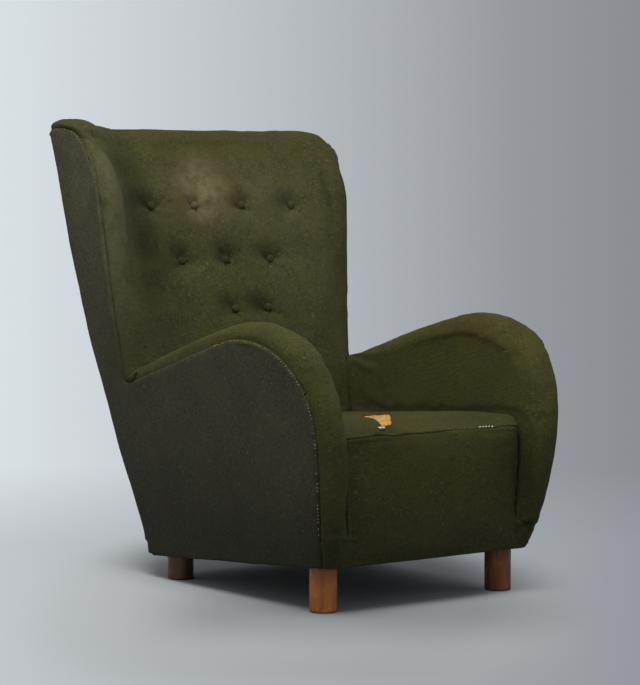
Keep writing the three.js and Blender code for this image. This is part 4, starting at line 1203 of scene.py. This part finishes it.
def turned_leg(node):
    """A round leg with its foot softened by wear."""
    low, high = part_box(node)
    middle = (low + high) / 2
    radius = (high.x - low.x) / 2
    shape = bmesh.new()
    round_leg = {"radius1": radius, "radius2": radius, "depth": high.z - low.z}
    bmesh.ops.create_cone(shape, cap_ends=True, segments=64, **round_leg)
    rims = [e for e in shape.edges if abs(e.verts[0].co.z - e.verts[1].co.z) < 1e-6 and len(e.link_faces) == 2]
    bmesh.ops.bevel(shape, geom=rims, offset=0.0028, segments=3, profile=0.5, affect="EDGES", material=-1)
    bmesh.ops.translate(shape, vec=tuple(middle), verts=shape.verts)
    leg = piece_from(shape, f"beech_{node}", leg_finishes.get(node, leg_finishes["rear"]))
    hand_in(leg, "leg_wood", node)


for end in ("front", "rear"):
    for side in ("left", "right"):
        turned_leg(f"leg_{end}_{side}")


# ---------------------------------------------------------------- the frame inside and what is stretched over it


def refinish(pattern, finish):
    for name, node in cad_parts.items():
        if name.startswith(pattern):
            node.data.materials.clear()
            node.data.materials.append(finish)


bare_boards = ("front_seat_rail", "rear_seat_rail", "lower_back_rail", "crest_rail", "side_seat_rail", "corner_block")
for board in bare_boards:
    refinish(board, frame_finish)


def planed_board(node):
    """A board of the frame with its arrises taken off, a little inside its sawn size."""
    shape = copy_of(node)
    bmesh.ops.dissolve_limit(shape, angle_limit=0.02, verts=shape.verts, edges=shape.edges)
    shape.normal_update()
    for vertex in shape.verts:
        ways = []
        for face in vertex.link_faces:
            if all(face.normal.dot(way) < 0.9 for way in ways):
                ways.append(face.normal.copy())
        vertex.co -= sum(ways, Vector()) * board_allowance
    sharp = [e for e in shape.edges if len(e.link_faces) == 2 and e.calc_face_angle(0) > 0.9]
    bmesh.ops.bevel(shape, geom=sharp, offset=0.0015, segments=2, profile=0.5, affect="EDGES", material=-1)
    bmesh.ops.triangulate(shape, faces=shape.faces)
    board = piece_from(shape, f"planed_{node}", frame_finish)
    for face in board.data.polygons:
        face.use_smooth = False
    hand_in(board, "frame_wood", node)


for node in ("arm_post", "arm_rail", "wing_rail", "back_post"):
    for side in ("left", "right"):
        planed_board(f"{node}_{side}")
refinish("seat_spring", wire_finish)


def cloth_over(node, across, along, through, parts, sag=lambda place: 0.0):
    """A grid that follows the underside of a flat solid; across, along and through number the axes."""
    skin = solids_skin([node])
    low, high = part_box(node)
    shape = bmesh.new()
    bmesh.ops.create_grid(shape, x_segments=parts[0], y_segments=parts[1], size=0.5)
    way = Vector([1.0 if axis == through else 0.0 for axis in range(3)])
    missed = []
    for vertex in shape.verts:
        place = Vector((0, 0, 0))
        for axis, share in ((across, vertex.co.x + 0.5), (along, vertex.co.y + 0.5)):
            place[axis] = low[axis] + grid_margin + (high[axis] - low[axis] - 2 * grid_margin) * share
        place[through] = low[through] - 0.05
        hit = skin.ray_cast(place, way)[0]
        if hit is None:
            missed.append(vertex)
            hit = place
        vertex.co = hit + way * sag(hit)
    bmesh.ops.delete(shape, geom=missed, context="VERTS")
    bmesh.ops.recalc_face_normals(shape, faces=shape.faces)
    return shape


def webbing(node, along, through):
    """One strap of jute webbing, its selvedges a little thicker than its middle."""
    across = 3 - along - through
    low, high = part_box(node)
    shape = cloth_over(node, across, along, through, (12, 90))
    bmesh.ops.solidify(shape, geom=shape.faces, thickness=-strap_thickness)
    shape.normal_update()
    middle, half = (low[across] + high[across]) / 2, (high[across] - low[across]) / 2
    for vertex, normal in with_normals(shape.verts):
        aside = (middle - vertex.co[across]) / half
        vertex.co += normal * (0.0003 * ease((abs(aside) - 0.8) / 0.15) + 0.0002 * noise.noise(vertex.co * 70))
        vertex.co[across] += 0.0005 * noise.noise(vertex.co * 24 + Vector((7, 0, 0))) * aside
    hand_in(piece_from(shape, f"jute_{node}", webbing_finish), "webbing", node)


for number in (1, 2, 3):
    webbing(f"seat_strap_lengthwise_{number}", 1, 2)
    webbing(f"seat_strap_crosswise_{number}", 0, 2)
    webbing(f"back_strap_{number}", 0, 1)


def sprung_hessian():
    """Hessian pulled tight over the springs' tops, dimpled between them."""
    springs = [legs_middle(x, y, 0).xy for x in (-0.15, 0.0, 0.15) for y in (-0.163, 0.007, 0.177)]

    def dimple(place):
        return -0.0012 * (1 - max(fade((place.xy - spring).length, 0.045) for spring in springs))

    shape = cloth_over("spring_cloth", 0, 1, 2, (70, 84), dimple)
    cloth = piece_from(shape, "hessian_over_springs", hessian_finish)
    hand_in(cloth, "hessian", "spring_cloth")


def black_cotton():
    """The thin black cover tacked under the seat, cut round the legs."""
    feet = [Vector((x, y)) for x in leg_columns for y in leg_rows]
    shape = cloth_over("dust_cover", 0, 1, 2, (96, 114))
    for vertex in list(shape.verts):
        for foot in feet:
            away = vertex.co.xy - foot
            if vertex.is_boundary and 0.02 < away.length < 0.042:
                vertex.co.xy = foot + away.normalized() * leg_hole
    low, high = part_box("dust_cover")
    for vertex in shape.verts:
        x, y, _ = vertex.co
        from_edge = min(x - low.x, high.x - x, y - low.y, high.y - y)
        pulled = 0.0004 * math.sin((x + y) * math.tau / 0.045) * math.exp(-from_edge / 0.02)
        vertex.co.z += pulled + 0.0005 * unevenness(vertex.co, 0.09, 51.0) - 0.0010 * ease(from_edge / 0.14)
    cloth = piece_from(shape, "black_cotton_underneath", black_finish)
    heads = []
    for step in range(1, 16):
        x, y = (low[axis] + (high[axis] - low[axis]) * step / 16 for axis in (0, 1))
        heads += [(low.x + tack_inset, y), (high.x - tack_inset, y)]
        heads += [(x, low.y + tack_inset), (x, high.y - tack_inset)]
    skin = surface_of(cloth)
    tacks = bmesh.new()
    head_size = Matrix.Diagonal((*tack_head, 1.0))
    for head in heads:
        if min((Vector(head) - foot).length for foot in feet) > 0.045:
            middle = skin.ray_cast(Vector((*head, 0)), Vector((0, 0, 1)))[0]
            placed = Matrix.Translation(middle) @ head_size
            bmesh.ops.create_uvsphere(tacks, u_segments=10, v_segments=6, radius=1.0, matrix=placed)
    tacked = hand_in(piece_from(tacks, "cover_tacks", wire_finish), "spring_steel")
    hand_in(cloth, "black_cloth", "dust_cover")


sprung_hessian()
black_cotton()


# ---------------------------------------------------------------- floor, light and camera


eye_place = legs_middle(-3.442, -4.593, 0.933)
eye_aim = legs_middle(-0.0312, 0.0234, 0.556)


def backdrop_shade(paint, direction):
    """The pale paper behind the chair, with painted light: brighter to the left of it, falling off to the right."""
    ahead = (eye_aim - eye_place).normalized()
    to_the_right = ahead.cross(Vector((0, 0, 1))).normalized()
    aside = paint.vector_maths("DOT_PRODUCT", paint.vector_maths("NORMALIZE", direction), tuple(to_the_right))
    shades = (0.0, (218, 225, 230)), (0.45, (184, 189, 194)), (0.8, (150, 154, 159)), (1.0, (138, 142, 148))
    share = paint.between(aside, -0.127, 0.127, smooth=False)
    return paint.ramp(share, *((position, tone(*shade)) for position, shade in shades))


def paper_shades(paper):
    """The paper's grey near the chair, with painted falloff and a painted shadow band; how bright it is painted further
    off, and where one goes over into the other.
    """
    leftward = paper.vector_maths("DOT_PRODUCT", paper.place, (-0.804, 0.594, 0.0))
    forward = paper.vector_maths("DOT_PRODUCT", paper.place, (-0.594, -0.804, 0.0))
    # a painted shadow band across the floor on the chair's right
    painted_shadow_band = paper.between(paper.maths("ABSOLUTE", paper.maths("SUBTRACT", forward, 0.5)), 0.0, 0.5, 0.30, 0.0)
    painted_shadow_band = paper.rest_of(paper.times(painted_shadow_band, paper.between(leftward, 0.15, 0.4, 1.0, 0.0)))
    # painted falloff towards the front: darker at the front left, lighter at the front right
    ends = paper.between(leftward, -0.75, -0.2, 1.2, 0.76)
    front = paper.between(forward, 0.2, 1.15, 1.0, ends, smooth=False)
    clouds = paper.between(paper.cloud(0.8, 2.0), 0.3, 0.7, 0.98, 1.02)
    # painted light: the paper's grey lighter to the left, towards the key lamp
    grey = paper.times(paper.between(leftward, -0.9, 1.0, 0.40, 0.58), clouds)
    grey = paper.times(grey, paper.times(front, painted_shadow_band))
    near = paper.mix(1.0, (0.945, 1.0, 1.03, 1), paper.join(grey, grey, grey), "MULTIPLY")
    # painted brightness of the far floor's glow: raised on the right and lowered on the left, nearer the chair
    aside = paper.between(leftward, -0.75, 0.5, 1.18, 0.76)
    distant = paper.between(forward, -2.2, -0.5, 1.0, aside, smooth=False)
    off = paper.join(paper.times(leftward, 2.0), paper.maths("SUBTRACT", forward, 0.3), 0.0)
    beyond = paper.between(paper.vector_maths("LENGTH", off), 0.75, 1.35)
    return near, distant, beyond


def studio():
    ground = bmesh.new()
    bmesh.ops.create_grid(ground, x_segments=1, y_segments=1, size=floor_size / 2)
    paper = Finish("pale_paper")
    near, distant, beyond = paper_shades(paper)
    lit = paper.add("BsdfDiffuse", {"Color": near}).outputs[0]
    away = paper.vector_maths("SUBTRACT", paper.place, tuple(eye_place))
    # the far floor isn't lit: seen from the camera it glows with the backdrop's painted brightness
    glow = paper.add("Emission", {"Color": backdrop_shade(paper, away), "Strength": distant}).outputs[0]
    seen = paper.add("LightPath").outputs["Is Camera Ray"]
    either = paper.add("MixShader", {0: paper.times(beyond, seen), 1: lit, 2: glow})
    paper.add("OutputMaterial", {"Surface": either.outputs[0]})
    floor = piece_from(ground, "studio_floor", paper.material)

    world = bpy.data.worlds.new("studio_air")
    bpy.context.scene.world = world
    air = Finish("studio_air", world)
    path = air.add("LightPath").outputs
    seen = air.maths("MAXIMUM", path["Is Camera Ray"], path["Is Glossy Ray"])
    lit = air.add("Background", {"Color": (0.96, 0.98, 1.0, 1), "Strength": air_strength}).outputs[0]
    # what the camera and reflections see: the backdrop with its painted brightness
    shade = backdrop_shade(air, air.outward)
    shown = air.add("Background", {"Color": shade, "Strength": 1.0}).outputs[0]
    either = air.add("MixShader", {0: seen, 1: lit, 2: shown})
    air.add("OutputWorld", {"Surface": either.outputs[0]})

    for name, place, size, power, warm in (
        ("key_softbox", (-1.1, -1.1, 3.5), 2.2, key_power, (1.0, 0.985, 0.95)),
        ("fill_softbox", (2.6, -3.2, 2.2), 2.6, fill_power, (0.95, 0.98, 1.0)),
    ):
        lamp = bpy.data.lights.new(name, "AREA")
        lamp.shape = "DISK"
        lamp.size = size
        lamp.energy = power
        lamp.color = warm
        box = bpy.data.objects.new(name, lamp)
        bpy.context.scene.collection.objects.link(box)
        box.location = place
        box.rotation_euler = (Vector((0, 0, 0.6)) - Vector(place)).to_track_quat("-Z", "Y").to_euler()


def camera():
    lens = bpy.data.cameras.new("studio_camera")
    lens.lens = 132.3
    lens.sensor_width = 36.0
    lens.sensor_fit = "AUTO"
    eye = bpy.data.objects.new("studio_camera", lens)
    bpy.context.scene.collection.objects.link(eye)
    eye.location = eye_place
    eye.rotation_euler = (eye_aim - eye_place).to_track_quat("-Z", "Y").to_euler()
    bpy.context.scene.camera = eye


studio()
camera()
bpy.context.scene.view_settings.view_transform = "Standard"
